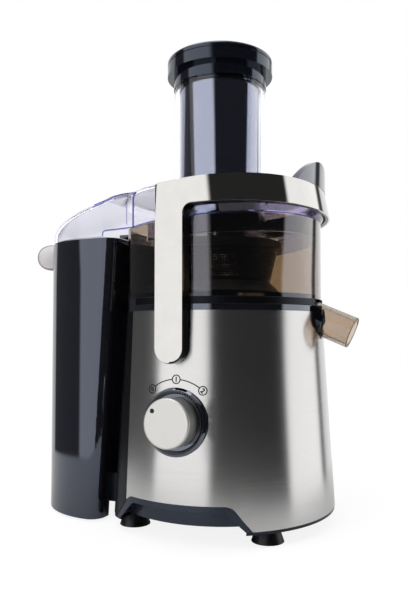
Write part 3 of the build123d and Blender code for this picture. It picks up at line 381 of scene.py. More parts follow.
def sweepRows(shape, rows, ring=False):  # joins equal rows of places into a ring, or a solid with flat ends
    rows = [[shape.verts.new(place) for place in row] for row in rows]
    for first, second in zip(rows, rows[1:] + rows[:1] if ring else rows[1:]):
        for i in range(len(first)):
            j = (i + 1) % len(first)
            shape.faces.new((first[i], first[j], second[j], second[i]))
    if not ring:
        shape.faces.new(rows[0])
        shape.faces.new(rows[-1])


creaseAngle = math.radians(35)  # edges sharper than this stay sharp


def finishShape(shape, name, finish, body, slot, *stands, smooth=True):  # a worked shape as a piece
    bmesh.ops.recalc_face_normals(shape, faces=shape.faces)
    mesh = bpy.data.meshes.new(name)
    shape.to_mesh(mesh)
    shape.free()
    if smooth:
        mesh.shade_smooth()
        mesh.set_sharp_from_angle(angle=creaseAngle)
    addPiece(name, mesh, finish, body, slot, *stands)


def takeMesh(holder):  # what a text, curve or tree makes, as a plain mesh; its object goes
    scene.collection.objects.link(holder)
    bpy.context.view_layer.update()
    mesh = bpy.data.meshes.new_from_object(holder.evaluated_get(bpy.context.evaluated_depsgraph_get()))
    holder.modifiers.clear()
    bpy.data.objects.remove(holder)
    return mesh


# Dial marks printed above the knob: 0, 1 and 2 in rings, joined by a thin arc
dial = {"radius": 33.0, "angles": {"0": -41.5, "1": 0, "2": 41.5}, "ring": 3.3, "line": 0.85, "digit": 4.1,
        "gap": 0.5, "lift": 0.03, "thick": 0.05, "weight": 0.045, "arcSteps": 24, "ringSteps": 32}


def flatBand(mesh, middle, angles, centre, closed):  # flat line round a centre, angles clockwise from the top
    half = dial["line"] / 2
    rows = [[mesh.verts.new((centre[0] + r * math.sin(angle), centre[1] + r * math.cos(angle), 0))
             for r in (middle - half, middle + half)] for angle in angles]
    for first, second in zip(rows, rows[1:] + rows[:1] if closed else rows[1:]):
        mesh.faces.new((first[0], first[1], second[1], second[0]))


def flatDigit(mesh, digit, centre, turn):  # one figure from Blender's own font, turned about its middle
    curve = bpy.data.curves.new("dialDigit", "FONT")
    curve.body = digit
    curve.size = dial["digit"]
    curve.offset = dial["weight"] * curve.size
    shape = takeMesh(bpy.data.objects.new("dialDigit", curve))
    points = [v.co.xy for v in shape.vertices]
    low, high = (Vector([pick(row) for row in zip(*points)]) for pick in (min, max))
    spin = Matrix.Rotation(-turn, 2) * (dial["digit"] / (high.y - low.y))
    corners = []
    for point in points:
        place = Vector(centre) + spin @ (point - (low + high) / 2)
        corners.append(mesh.verts.new(place.to_3d()))
    for face in shape.polygons:
        mesh.faces.new([corners[i] for i in face.vertices])
    bpy.data.meshes.remove(shape)


def makeDialMarks():
    flat = bmesh.new()
    radius = dial["radius"]
    clear = math.degrees((dial["ring"] + dial["gap"]) / radius)
    angles = sorted(dial["angles"].values())
    for start, end in zip(angles, angles[1:]):
        flatBand(flat, radius, anglesBetween(start + clear, end - clear, dial["arcSteps"]), (0, 0), False)
    for digit, angle in dial["angles"].items():
        turn = math.radians(angle)
        centre = (radius * math.sin(turn), radius * math.cos(turn))
        flatBand(flat, dial["ring"], fullTurn(dial["ringSteps"]), centre, True)
        flatDigit(flat, digit, centre, turn)
    bmesh.ops.recalc_face_normals(flat, faces=flat.faces)
    for face in flat.faces:
        if face.normal.z < 0:
            face.normal_flip()
    top = bmesh.ops.extrude_face_region(flat, geom=list(flat.faces), use_keep_orig=True)
    for item in top["geom"]:
        if isinstance(item, bmesh.types.BMVert):
            item.co.z = dial["thick"]
    for vert in flat.verts:
        vert.co = onCasing(vert.co.x * mm, knobLevel + vert.co.y * mm, (dial["lift"] + vert.co.z) * mm)
    finishShape(flat, "dialMarks", "dialInk", "base", "black_plastic", smooth=False)


makeDialMarks()
print("dial marks printed")


# The knob's plane lies on the casing and leans back with it
knobLean = math.atan(casing["taper"])
knobOrigin = onCasing(0, knobLevel, 0)
knobOut = Vector((0, -math.cos(knobLean), math.sin(knobLean)))
knobUp = Vector((0, math.sin(knobLean), math.cos(knobLean)))


def onKnob(side, up, out):
    return knobOrigin + (Vector((side, 0, 0)) + knobUp * up + knobOut * out) * mm


# Pointer: a dark drop of paint that fills the dimple in the knob's face
pointer = {"side": -11.66, "up": 9.11, "radius": 1.95, "floor": 16.02, "crown": 16.95, "sides": 32,
           "profile": ((1.0, 0.0), (1.0, 0.7), (0.94, 0.88), (0.7, 0.97))}  # shares of radius and depth


def makePointer():
    shape = bmesh.new()
    depth = pointer["crown"] - pointer["floor"]
    rings = []
    for share, level in pointer["profile"]:
        radius = pointer["radius"] * share
        rings.append([onKnob(pointer["side"] + radius * math.cos(turn),
                             pointer["up"] + radius * math.sin(turn), pointer["floor"] + depth * level)
                      for turn in fullTurn(pointer["sides"])])
    sweepRows(shape, rings)
    finishShape(shape, "pointerDot", "dialInk", "knob", "black_plastic", smooth=False)


makePointer()
print("pointer painted")


def newShapeTree(name, inputs):  # a geometry tree with named number inputs
    tree = bpy.data.node_groups.new(name, "GeometryNodeTree")
    for label, kind in inputs:
        tree.interface.new_socket(label, in_out="INPUT", socket_type=kind)
    tree.interface.new_socket("Geometry", in_out="OUTPUT", socket_type="NodeSocketGeometry")
    return tree, tree.nodes.new("NodeGroupInput")


def runTree(name, tree, geometry, finish, values):  # ends a tree, runs it once and keeps its mesh
    real = addNode(tree, "GeometryNodeRealizeInstances", None, {"Geometry": geometry})
    dressed = addNode(tree, "GeometryNodeSetMaterial", {"Material": finishes[finish]},
                      {"Geometry": real.outputs["Geometry"]})
    addNode(tree, "NodeGroupOutput", None, {"Geometry": dressed.outputs["Geometry"]})
    holder = bpy.data.objects.new(name, bpy.data.meshes.new(name))
    modifier = holder.modifiers.new(name, "NODES")
    modifier.node_group = tree
    for item in tree.interface.items_tree:
        if item.in_out == "INPUT":
            modifier[item.identifier] = values[item.name]
    return takeMesh(holder)


# Bezel: a turned ring with a sharp crest, in place of the CAD's square one
bezel = {"bore": 3.4, "back": -5.0, "radius": 26.5, "shoulder": 0.5, "crest": 24.7, "rise": 2.2, "round": 0.3,
         "dish": 21.9, "floor": -0.5, "sides": 128}


def makeBezel():
    crest, rise, soft = bezel["crest"], bezel["rise"], bezel["round"]
    section = [(bezel["bore"], bezel["floor"]), (bezel["bore"], bezel["back"]),
               (bezel["radius"], bezel["back"]), (bezel["radius"], bezel["shoulder"]),
               (bezel["radius"] - soft, bezel["shoulder"] + soft), (crest + soft, rise - soft / 2),
               (crest, rise), (crest - soft, rise - soft / 2), (bezel["dish"], bezel["floor"])]
    shape = bmesh.new()
    sweepRows(shape, [[onKnob(r * math.cos(turn), r * math.sin(turn), z) for r, z in section]
                      for turn in fullTurn(bezel["sides"])], ring=True)
    finishShape(shape, "turnedBezel", "glossBlackAbs", "base", "black_plastic", "knob_bezel")


makeBezel()
print("bezel turned")


# Ribs on the bezel's sloping wall, above right of the knob, that mark the turn towards full speed
ribs = {"Count": 8, "Radius": 23.2 * mm, "Start": math.radians(44), "Sweep": math.radians(38),
        "Width": 1.0 * mm, "Length": 3.0 * mm, "Height": 1.2 * mm}
ribSeat = {"out": 0.95, "slope": math.radians(45)}  # middle of the wall and how steeply it climbs


def makeRibs():
    tree, given = newShapeTree("bezelRibs", [("Count", "NodeSocketInt")] + [
        (label, "NodeSocketFloat") for label in ("Radius", "Start", "Sweep", "Width", "Length", "Height")])
    arc = addNode(tree, "GeometryNodeCurveArc", {"mode": "RADIUS", "Resolution": 32},
                  {"Radius": given.outputs["Radius"], "Start Angle": given.outputs["Start"],
                   "Sweep Angle": given.outputs["Sweep"]})
    places = addNode(tree, "GeometryNodeCurveToPoints", {"mode": "COUNT"},
                     {"Curve": arc.outputs["Curve"], "Count": given.outputs["Count"]})
    spot = addNode(tree, "GeometryNodeInputPosition")
    parts = addNode(tree, "ShaderNodeSeparateXYZ", None, {"Vector": spot.outputs["Position"]})
    turn = addNode(tree, "ShaderNodeMath", {"operation": "ARCTAN2"},
                   {0: parts.outputs["Y"], 1: parts.outputs["X"]})
    spin = addNode(tree, "ShaderNodeCombineXYZ", {"Y": -ribSeat["slope"]}, {"Z": turn.outputs[0]})
    size = addNode(tree, "ShaderNodeCombineXYZ", None, {
        "X": given.outputs["Length"], "Y": given.outputs["Width"], "Z": given.outputs["Height"]})
    block = addNode(tree, "GeometryNodeMeshCube", None, {"Size": size.outputs["Vector"]})
    pill = addNode(tree, "GeometryNodeSubdivisionSurface", {"Level": 2}, {"Mesh": block.outputs["Mesh"]})
    turned = addNode(tree, "FunctionNodeEulerToRotation", None, {"Euler": spin.outputs["Vector"]})
    row = addNode(tree, "GeometryNodeInstanceOnPoints", None, {
        "Points": places.outputs["Points"], "Instance": pill.outputs["Mesh"],
        "Rotation": turned.outputs["Rotation"]})
    mesh = runTree("bezelRibs", tree, row.outputs["Instances"], "satinSilver", ribs)
    for vert in mesh.vertices:
        vert.co = onKnob(vert.co.x / mm, vert.co.y / mm, ribSeat["out"] + vert.co.z / mm)
    addPiece("bezelRibs", mesh, "satinSilver", "base", "silver_plastic")


makeRibs()
print("bezel ribs set")


# Filter basket: a punched cone between two plain bands, in place of the CAD's slotted sheet;
# its holes are drawn larger than a punch leaves them so that they show
basketLow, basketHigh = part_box("filter_basket")
basket = {"Around": 132, "Rows": 11, "Open": 0.62, "Sheet": 0.7 * mm,
          "Foot": basketLow.z + 3 * mm, "Head": basketHigh.z - 8 * mm}
cone = {"low": 45.2 * mm, "high": 53.2 * mm, "bottom": basketLow.z, "top": basketHigh.z}  # the inner face
seamGap = 0.02 * mm  # points closer than this are one


def coneRadius(level):
    share = (level - cone["bottom"]) / (cone["top"] - cone["bottom"])
    return cone["low"] + share * (cone["high"] - cone["low"])


def makeBasket():
    tree, given = newShapeTree("sieveBasket", [("Around", "NodeSocketInt"), ("Rows", "NodeSocketInt")] + [
        (label, "NodeSocketFloat") for label in ("Open", "Foot", "Head", "Sheet")])
    across, upward = (addNode(tree, "ShaderNodeMath", {"operation": "ADD", 1: 1.0}, {0: given.outputs[key]})
                      for key in ("Around", "Rows"))  # one more point than holes
    grid = addNode(tree, "GeometryNodeMeshGrid", {"Size X": 1.0, "Size Y": 1.0},
                   {"Vertices X": across.outputs[0], "Vertices Y": upward.outputs[0]})
    inset = addNode(tree, "GeometryNodeExtrudeMesh", {
        "mode": "FACES", "Offset Scale": 0.0, "Individual": True}, {"Mesh": grid.outputs["Mesh"]})
    shrunk = addNode(tree, "GeometryNodeScaleElements", {"domain": "FACE"}, {
        "Geometry": inset.outputs["Mesh"], "Selection": inset.outputs["Top"], "Scale": given.outputs["Open"]})
    punched = addNode(tree, "GeometryNodeDeleteGeometry", {"domain": "FACE"}, {
        "Geometry": shrunk.outputs["Geometry"], "Selection": inset.outputs["Top"]})
    rounded = addNode(tree, "GeometryNodeSubdivisionSurface", {"Level": 1},
                      {"Mesh": punched.outputs["Geometry"]})
    spot = addNode(tree, "GeometryNodeInputPosition")
    parts = addNode(tree, "ShaderNodeSeparateXYZ", None, {"Vector": spot.outputs["Position"]})
    turn = addNode(tree, "ShaderNodeMath", {"operation": "MULTIPLY", 1: 2 * math.pi}, {0: parts.outputs["X"]})
    level = addNode(tree, "ShaderNodeMapRange", {"From Min": -0.5, "From Max": 0.5}, {
        "Value": parts.outputs["Y"], "To Min": given.outputs["Foot"], "To Max": given.outputs["Head"]})
    radius = addNode(tree, "ShaderNodeMapRange", {
        "From Min": cone["bottom"], "From Max": cone["top"], "To Min": cone["low"], "To Max": cone["high"]},
        {"Value": level.outputs["Result"]})
    place = addNode(tree, "ShaderNodeCombineXYZ", None, {"Z": level.outputs["Result"]})
    for label, wave, middle in (("X", "COSINE", axisX), ("Y", "SINE", axisY)):
        swing = addNode(tree, "ShaderNodeMath", {"operation": wave}, {0: turn.outputs[0]})
        reach = addNode(tree, "ShaderNodeMath", {"operation": "MULTIPLY_ADD", 2: middle},
                        {0: radius.outputs["Result"], 1: swing.outputs[0]})
        tree.links.new(reach.outputs[0], place.inputs[label])
    rolled = addNode(tree, "GeometryNodeSetPosition", None, {
        "Geometry": rounded.outputs["Mesh"], "Position": place.outputs["Vector"]})
    closed = addNode(tree, "GeometryNodeMergeByDistance", {"Distance": seamGap},
                     {"Geometry": rolled.outputs["Geometry"]})
    outer = addNode(tree, "GeometryNodeExtrudeMesh", {"mode": "FACES", "Individual": False},
                    {"Mesh": closed.outputs["Geometry"], "Offset Scale": given.outputs["Sheet"]})
    inner = addNode(tree, "GeometryNodeFlipFaces", None, {"Mesh": closed.outputs["Geometry"]})
    both = addNode(tree, "GeometryNodeJoinGeometry", None, {"Geometry": outer.outputs["Mesh"]})
    tree.links.new(inner.outputs["Mesh"], both.inputs["Geometry"])
    sheet = addNode(tree, "GeometryNodeMergeByDistance", {"Distance": seamGap},
                    {"Geometry": both.outputs["Geometry"]})
    mesh = runTree("sieveBasket", tree, sheet.outputs["Geometry"], "sieveSteel", basket)
    shape = bmesh.new()
    shape.from_mesh(mesh)
    bpy.data.meshes.remove(mesh)
    for low, high in ((cone["bottom"], basket["Foot"]), (basket["Head"], cone["top"])):
        section = [(coneRadius(low), low), (coneRadius(low) + basket["Sheet"], low),
                   (coneRadius(high) + basket["Sheet"], high), (coneRadius(high), high)]
        sweepRows(shape, [[roundAxis(r / mm, turn, z / mm) for r, z in section]
                          for turn in fullTurn(basket["Around"])], ring=True)
    finishShape(shape, "sieveBasket", "sieveSteel", "drive", "sheet_steel", "filter_basket", smooth=False)


makeBasket()
print("basket punched")


# The clear lid as the CAD has it: a drum over the bowl, and a canopy over the bin
lid = {
    "drum": 91.4, "drumRound": 12.0, "drumTop": 287.0,
    "seam": 254.65, "seamSlope": 3.5,  # where lid and bowl meet, at the axis, and its climb towards the spout
    "joint": (-48.9, 77.2),  # where the canopy's side leaves the drum
    "half": 71.3, "fold": -82.6, "flare": 10.0,  # canopy's half width, and where it starts to widen
    "roof": 282.0, "roofSlope": 16.0, "round": 12.0,
    "foot": 247.6, "step": 251.7,  # the canopy's lower edge, beyond the fold and before it
    "skirt": 88.6, "skirtDrop": 13.4, "skirtSweep": 110.0, "sweepSteps": 96,
}


def seamLevel(x):
    return lid["seam"] + x * math.tan(math.radians(lid["seamSlope"]))


def alongSeam(r, turns, lift):  # places round the axis, so far above the seam
    return [(r * math.cos(t), r * math.sin(t), seamLevel(r * math.cos(t)) + lift) for t in turns]


skirtTurns = anglesBetween(-lid["skirtSweep"], lid["skirtSweep"], lid["sweepSteps"])


def sideHalf(x):  # half width of the canopy's side wall
    return lid["half"] + max(0.0, x - lid["fold"]) * math.tan(math.radians(lid["flare"]))


# Beads along the lid's rim, roof and joint, where the clear plastic is thick enough to look violet
beads = {
    "radius": 0.45, "skirtRadius": 0.6,
    "rim": 1.0, "upright": 1.8, "roof": 1.0, "inner": 0.6, "step": 1.0,  # shares of that radius
    "rimIn": 0.1, "rimLift": 0.7, "uprightSteps": 24,
    "roofTurn": 38.0, "roofXs": range(-58, -95, -4),
    "innerTurn": 52.0, "innerX": -55.0, "innerOut": 1.6, "innerLevels": (254.7, 260.0, 266.0, 270.0),
    "foldRises": (0.0, 1.0, 2.0), "corner": (0.7, -0.3),
    "stepLift": 0.5, "stepXs": (-79, -74, -69, -64, -59, -54, -50),
}


def roofPoint(x, side, degrees):  # on the round along the canopy's roof, or the edge where it is cut level
    plane = lid["roof"] + (x - lid["fold"]) * math.tan(math.radians(lid["roofSlope"]))
    turn = math.radians(degrees)
    out = lid["round"] + beads["radius"]
    level = plane - lid["round"] + out * math.cos(turn)
    reach = out * math.sin(turn)
    if level > lid["roof"]:
        level = lid["roof"]
        reach = math.sqrt(out ** 2 - (level - plane + lid["round"]) ** 2)
    return (x, side * (sideHalf(x) - lid["round"] + reach), level)


def beadPaths():  # each with its thickness, as a share of the bead's
    jointX, jointY = lid["joint"]
    stretch = math.degrees(math.atan2(jointY, jointX))
    turns = anglesBetween(-stretch, stretch, lid["sweepSteps"])
    paths = [(beads["rim"], alongSeam(lid["drum"] - beads["rimIn"], turns, beads["rimLift"]))]
    for side in (-1, 1):
        upright = []
        for i in range(beads["uprightSteps"] + 1):
            z = lid["step"] + (lid["roof"] - lid["step"]) * i / beads["uprightSteps"]
            over = max(0.0, z - lid["drumTop"] + lid["drumRound"])
            inset = lid["drumRound"] - math.sqrt(lid["drumRound"] ** 2 - over ** 2)
            scale = (lid["drum"] - inset) / math.hypot(jointX, jointY)
            upright.append((jointX * scale, side * jointY * scale, z))
        paths.append((beads["upright"], upright))
        roof = [roofPoint(x, side, beads["roofTurn"]) for x in beads["roofXs"]]
        paths.append((beads["roof"], [upright[-1]] + roof))
        inner = [roofPoint(x, side, beads["innerTurn"]) for x in (beads["innerX"], *beads["roofXs"])]
        drop = [(inner[0][0], inner[0][1] + side * beads["innerOut"], z) for z in beads["innerLevels"]]
        paths.append((beads["inner"], drop + inner))
        fold, wall = lid["fold"], side * sideHalf(lid["fold"])
        edge = [(fold, wall, lid["foot"] + rise) for rise in beads["foldRises"]]
        edge.append((fold + beads["corner"][0], wall, lid["step"] + beads["corner"][1]))
        edge += [(x, side * sideHalf(x), lid["step"] + beads["stepLift"]) for x in beads["stepXs"]]
        paths.append((beads["step"], edge))
    return paths


# Rim of the spout's mouth, dark because it is seen along the wall
spout = {"slope": 23.0, "mouth": (120.0, 163.0), "radius": 13.0, "bead": 0.5, "sides": 48}


def spoutRim():
    x, z = spout["mouth"]
    r, lean = spout["radius"], math.radians(spout["slope"])
    return [(x + r * math.cos(t) * math.sin(lean), r * math.sin(t), z + r * math.cos(t) * math.cos(lean))
            for t in anglesBetween(0, 360, spout["sides"])]


def makeBeads(name, finish, radius, paths, body, slot):
    curve = bpy.data.curves.new(name, "CURVE")
    curve.dimensions = "3D"
    curve.bevel_depth = radius * mm
    curve.bevel_resolution = 2
    curve.use_fill_caps = True
    for share, path in paths:
        spline = curve.splines.new("POLY")
        spline.points.add(len(path) - 1)
        for point, place in zip(spline.points, path):
            point.co = (*fromAxis(*place), 1)
            point.radius = share
    mesh = takeMesh(bpy.data.objects.new(name, curve))
    for face in mesh.polygons:
        face.use_smooth = True
    addPiece(name, mesh, finish, body, slot)


# Band round the lid's skirt, inside the bowl
skirtBand = {"radius": 88.85, "sheet": 0.3, "low": -13.0, "high": -0.5}


def makeSkirtBand():
    shape = bmesh.new()
    inner, outer = skirtBand["radius"], skirtBand["radius"] + skirtBand["sheet"]
    low, high = skirtBand["low"], skirtBand["high"]
    section = ((inner, low), (outer, low), (outer, high), (inner, high))
    edges = [alongSeam(r, skirtTurns, z) for r, z in section]
    sweepRows(shape, [[fromAxis(*place) for place in row] for row in zip(*edges)])
    finishShape(shape, "skirtBand", "greySan", "lid", "clear_plastic")


makeSkirtBand()
print("skirt banded")


# Flange that closes the gap between the lid's wall and the arm's oval, on the spout side
lidFlange = {"straight": 14.0, "along": 81.4, "across": 93.4,  # the oval
             "wall": 91.5, "sweep": 76.0, "rise": (0.8, 6.4), "sheet": 1.4, "steps": 72}


def makeLidFlange():
    shape = bmesh.new()
    sheet = lidFlange["sheet"]
    rows = []
    for turn in anglesBetween(-lidFlange["sweep"], lidFlange["sweep"], lidFlange["steps"]):
        outer = Vector((lidFlange["straight"] + lidFlange["along"] * math.cos(turn),
                        lidFlange["across"] * math.sin(turn)))
        inner = outer.normalized() * lidFlange["wall"]
        low, high = (seamLevel(spot.x) + rise for spot, rise in zip((inner, outer), lidFlange["rise"]))
        rows.append([fromAxis(*spot, z) for spot, z in (
            (inner, low), (outer, high), (outer, high + sheet), (inner, low + sheet))])
    sweepRows(shape, rows)
    finishShape(shape, "lidFlange", "lilacSan", "lid", "clear_plastic")


makeLidFlange()
print("lid flange moulded")


# Saddle: the CAD's socket with its outer end drawn back round the spout, most on the side away from the knob
saddle = {"reach": 2.0, "back": 4.2, "proud": 92.0, "behind": 3.0, "merge": 0.001}


def makeSaddle():
    shape = bmesh.new()
    shape.from_mesh(nodes["spout_saddle"].data)
    bmesh.ops.remove_doubles(shape, verts=shape.verts, dist=saddle["merge"] * mm)
    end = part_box("spout_saddle")[1].x
    stop = axisX + saddle["proud"] * mm
    for vert in shape.verts:
        if vert.co.x > end - saddle["reach"] * mm:
            vert.co.x -= saddle["back"] * mm
        if vert.co.y > axisY and vert.co.x > stop:
            vert.co.x = max(vert.co.x - saddle["behind"] * mm, stop)
    finishShape(shape, "shortSaddle", "satinBlackAbs", "base", "black_plastic", "spout_saddle")


makeSaddle()
print("saddle drawn back")


# Step round the top of the collar, dull where the collar shines; open at the spout and at the bin
collarStep = {"radius": 92.4, "proud": 0.4, "low": 185.8, "high": 192.0, "from": 10.5, "to": 118.0,
              "sides": 96}


def makeCollarStep():
    shape = bmesh.new()
    inner, proud, low, high = (collarStep[key] for key in ("radius", "proud", "low", "high"))
    outer = inner + proud
    section = ((inner, low), (outer, low + proud), (outer, high - proud), (inner, high))
    for side in (-1, 1):
        turns = anglesBetween(side * collarStep["from"], side * collarStep["to"], collarStep["sides"])
        sweepRows(shape, [[roundAxis(r, turn, z) for r, z in section] for turn in turns])
    finishShape(shape, "collarStep", "dullBlackAbs", "base", "black_plastic")


makeCollarStep()
print("collar stepped")


# Chrome lip along the legs' edge on the bin's side; it narrows towards the band, where the black frame shows
legLips = {"half": 10.5, "wide": 2.2, "pivot": 151.5, "top": 279.5, "slim": (250.0, 290.0), "face": 108.0,
           "deep": 2.9, "steps": 20}


def makeLegLips():
    shape = bmesh.new()
    half, wide, pivot, steps = (legLips[key] for key in ("half", "wide", "pivot", "steps"))
    out = half + wide / 2
    edge = []  # pairs of places along the leg: on the CAD's outline and on the wider one
    for turn in anglesBetween(0, 90, steps):
        edge.append(((-half * math.sin(turn), pivot - half * math.cos(turn)),
                     (-wide / 2 - out * math.sin(turn), pivot - out * math.cos(turn))))
    low, high = legLips["slim"]
    for i in range(1, steps + 1):
        z = pivot + (legLips["top"] - pivot) * i / steps
        edge.append(((-half, z), (-half - wide * min(1.0, (high - z) / (high - low)), z)))
    for side in (-1, 1):
        near, deep = side * legLips["face"], side * (legLips["face"] - legLips["deep"])
        sweepRows(shape, [[fromAxis(x, y, z) for (x, z), y in (
            (inner, near), (outer, near), (outer, deep), (inner, deep))] for inner, outer in edge])
    finishShape(shape, "legLips", "brightChrome", "arm", "silver_face")


makeLegLips()
print("legs lipped")

makeBeads("lidBeads", "violetSan", beads["radius"], beadPaths(), "lid", "clear_plastic")
skirtEdge = alongSeam(lid["skirt"], skirtTurns, -lid["skirtDrop"])  # the skirt's lower edge, inside the bowl
# the skirt bead is a painted shade line along the skirt's lower edge
makeBeads("skirtBead", "duskSan", beads["skirtRadius"], [(1.0, skirtEdge)], "lid", "clear_plastic")
makeBeads("spoutRim", "paleCopolyester", spout["bead"], [(1.0, spoutRim())], "base", "smoky_plastic")
print("beads laid")


# Studio, in metres: white sweep, two tall soft boxes left and right of the camera, a dark room between them
studio = {
    "floorSize": 6.0,
    "floorWhite": 0.82,  # share of the floor that is plain white to the camera, the rest takes the shadow
    "floorGlow": 1.06,
    # azimuth of each edge in degrees, and the brightness from there on
    "room": [(-180, 0.09), (-136, 1.5), (-80, 0.03), (2, 1.5), (53, 0.08), (63, 1.0), (160, 0.09)],
    "edge": 4.0,
    "spread": 53.0,  # degrees by which the boxes lean apart, for each unit of height above the next level
    "spreadFrom": 0.087,
    "spreadSides": (-105, -40),  # left of the first everything leans left, right of the second to the right
    "paperMiddle": (-0.045, 0, 0),
    "paper": (0.325, 0.355),  # distance from there over which the paper fades out of reflections
    "ceiling": 0.9,
    "ceilingFrom": (0.62, 0.8),  # heights between which the room gives way to the ceiling
}
plainWhite = (1, 1, 1, 1)


def makeWorld():
    world = bpy.data.worlds.new("studioRoom")
    scene.world = world
    tree = emptyTree(world)
    coord = addNode(tree, "ShaderNodeTexCoord")
    parts = addNode(tree, "ShaderNodeSeparateXYZ", None, {"Vector": coord.outputs["Generated"]})
    azimuth = addNode(tree, "ShaderNodeMath", {"operation": "ARCTAN2"},
                      {0: parts.outputs["Y"], 1: parts.outputs["X"]})
    above = addNode(tree, "ShaderNodeMath", {
        "operation": "SUBTRACT", 1: studio["spreadFrom"], "use_clamp": True}, {0: parts.outputs["Z"]})
    left, right = (math.radians(side) for side in studio["spreadSides"])
    lean = math.radians(studio["spread"])
    side = addNode(tree, "ShaderNodeMapRange", {
        "From Min": left, "From Max": right, "To Min": lean, "To Max": -lean}, {"Value": azimuth.outputs[0]})
    leaning = addNode(tree, "ShaderNodeMath", {"operation": "MULTIPLY_ADD"},
                      {0: above.outputs[0], 1: side.outputs["Result"], 2: azimuth.outputs[0]})
    share = addNode(tree, "ShaderNodeMapRange", {"From Min": -math.pi, "From Max": math.pi},
                    {"Value": leaning.outputs[0]})
    ramp = addNode(tree, "ShaderNodeValToRGB", None, {"Fac": share.outputs["Result"]})
    room = studio["room"]
    top = max(level for _, level in room)
    places = [(0.0, room[0][1])]
    for (_, before), (edge, after) in zip(room, room[1:]):
        places.append(((edge - studio["edge"] / 2 + 180) / 360, before))
        places.append(((edge + studio["edge"] / 2 + 180) / 360, after))
    places.append((1.0, room[-1][1]))
    stops = ramp.color_ramp.elements  # a new ramp has one stop at either end
    for place, _ in places[1:-1]:
        stops.new(place)
    for stop, (_, level) in zip(stops, places):
        stop.color = (level / top,) * 3 + (1,)
    walls = addNode(tree, "ShaderNodeBackground", {"Strength": top}, {"Color": ramp.outputs["Color"]})
    ceiling = addNode(tree, "ShaderNodeBackground", {"Color": plainWhite, "Strength": studio["ceiling"]})
    low, high = studio["ceilingFrom"]
    height = addNode(tree, "ShaderNodeMapRange", {"From Min": low, "From Max": high},
                     {"Value": parts.outputs["Z"]})
    lit = addNode(tree, "ShaderNodeMixShader", None,
                  {0: height.outputs["Result"], 1: walls.outputs[0], 2: ceiling.outputs[0]})
    white = addNode(tree, "ShaderNodeBackground", {"Color": plainWhite, "Strength": 1.0})
    path = addNode(tree, "ShaderNodeLightPath")
    noGloss = addNode(tree, "ShaderNodeMath", {"operation": "LESS_THAN", 1: 0.5},
                      {0: path.outputs["Glossy Depth"]})
    through = addNode(tree, "ShaderNodeMath", {"operation": "MULTIPLY"},
                      {0: path.outputs["Is Transmission Ray"], 1: noGloss.outputs[0]})
    seen = addNode(tree, "ShaderNodeMath", {"operation": "MAXIMUM"},
                   {0: path.outputs["Is Camera Ray"], 1: through.outputs[0]})
    shown = addNode(tree, "ShaderNodeMixShader", None,
                    {0: seen.outputs[0], 1: lit.outputs[0], 2: white.outputs[0]})
    addNode(tree, "ShaderNodeOutputWorld", None, {"Surface": shown.outputs[0]})


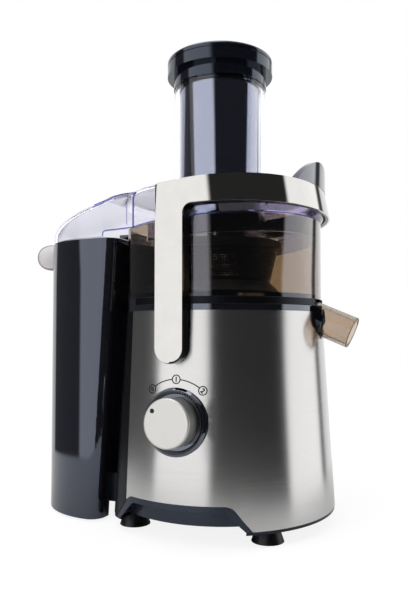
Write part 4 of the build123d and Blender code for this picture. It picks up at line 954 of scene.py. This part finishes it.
def makeFloor():
    material = bpy.data.materials.new("paleSweep")  # matt white paper that keeps a faint shadow
    tree = emptyTree(material)
    paper = addNode(tree, "ShaderNodeBsdfDiffuse", {"Color": tone("#F4F4F4")})
    white = addNode(tree, "ShaderNodeEmission", {"Color": plainWhite, "Strength": studio["floorGlow"]})
    path = addNode(tree, "ShaderNodeLightPath")
    seen = addNode(tree, "ShaderNodeMath", {"operation": "MAXIMUM"},
                   {0: path.outputs["Is Camera Ray"], 1: path.outputs["Is Transmission Ray"]})
    share = addNode(tree, "ShaderNodeMath", {"operation": "MULTIPLY", 1: studio["floorWhite"]},
                    {0: seen.outputs[0]})
    mixed = addNode(tree, "ShaderNodeMixShader", None,
                    {0: share.outputs[0], 1: paper.outputs[0], 2: white.outputs[0]})
    coord = addNode(tree, "ShaderNodeTexCoord")  # gloss shows the paper only close to the juicer
    reach = addNode(tree, "ShaderNodeVectorMath", {"operation": "DISTANCE", 1: studio["paperMiddle"]},
                    {0: coord.outputs["Object"]})
    near, far = studio["paper"]
    away = addNode(tree, "ShaderNodeMapRange", {"From Min": near, "From Max": far},
                   {"Value": reach.outputs["Value"]})
    skip = addNode(tree, "ShaderNodeMath", {"operation": "MULTIPLY"},
                   {0: away.outputs["Result"], 1: path.outputs["Is Glossy Ray"]})
    gap = addNode(tree, "ShaderNodeBsdfTransparent")
    shown = addNode(tree, "ShaderNodeMixShader", None,
                    {0: skip.outputs[0], 1: mixed.outputs[0], 2: gap.outputs[0]})
    addNode(tree, "ShaderNodeOutputMaterial", None, {"Surface": shown.outputs[0]})
    half = studio["floorSize"] / 2
    mesh = bpy.data.meshes.new("paleFloor")
    corners = [(-half, -half, 0), (half, -half, 0), (half, half, 0), (-half, half, 0)]
    mesh.from_pydata(corners, [], [(0, 1, 2, 3)])
    floor = bpy.data.objects.new("paleFloor", mesh)
    scene.collection.objects.link(floor)
    mesh.materials.append(material)


# A soft lamp above, in metres and watts
overhead = {"place": (-0.2, -0.5, 1.6), "aim": (0, 0, 0.2), "size": 1.2, "power": 9.0}


def makeOverhead():
    light = bpy.data.lights.new("overhead", "AREA")
    light.shape = "DISK"
    light.size = overhead["size"]
    light.energy = overhead["power"]
    holder = bpy.data.objects.new("overhead", light)
    scene.collection.objects.link(holder)
    holder.location = overhead["place"]
    way = Vector(overhead["aim"]) - Vector(overhead["place"])
    holder.rotation_euler = way.to_track_quat("-Z", "Y").to_euler()


# Camera fitted to the photograph: place in metres, angles in degrees, focal length in pixels
view = {"place": (axisX + 0.2055, axisY - 0.5351, 0.164), "yaw": 22.5, "pitch": 2.37, "focal": 620.0,
        "frame": (408, 612), "sensor": 36.0}


def makeCamera():
    lens = bpy.data.cameras.new("photoCamera")
    lens.sensor_fit = "AUTO"
    lens.sensor_width = view["sensor"]
    lens.lens = view["focal"] * view["sensor"] / max(view["frame"])
    camera = bpy.data.objects.new("photoCamera", lens)
    scene.collection.objects.link(camera)
    camera.location = view["place"]
    camera.rotation_euler = (math.radians(90 + view["pitch"]), 0, math.radians(view["yaw"]))
    scene.camera = camera


makeWorld()
makeFloor()
makeOverhead()
makeCamera()
scene.view_settings.view_transform = "Standard"
print("studio and camera set")
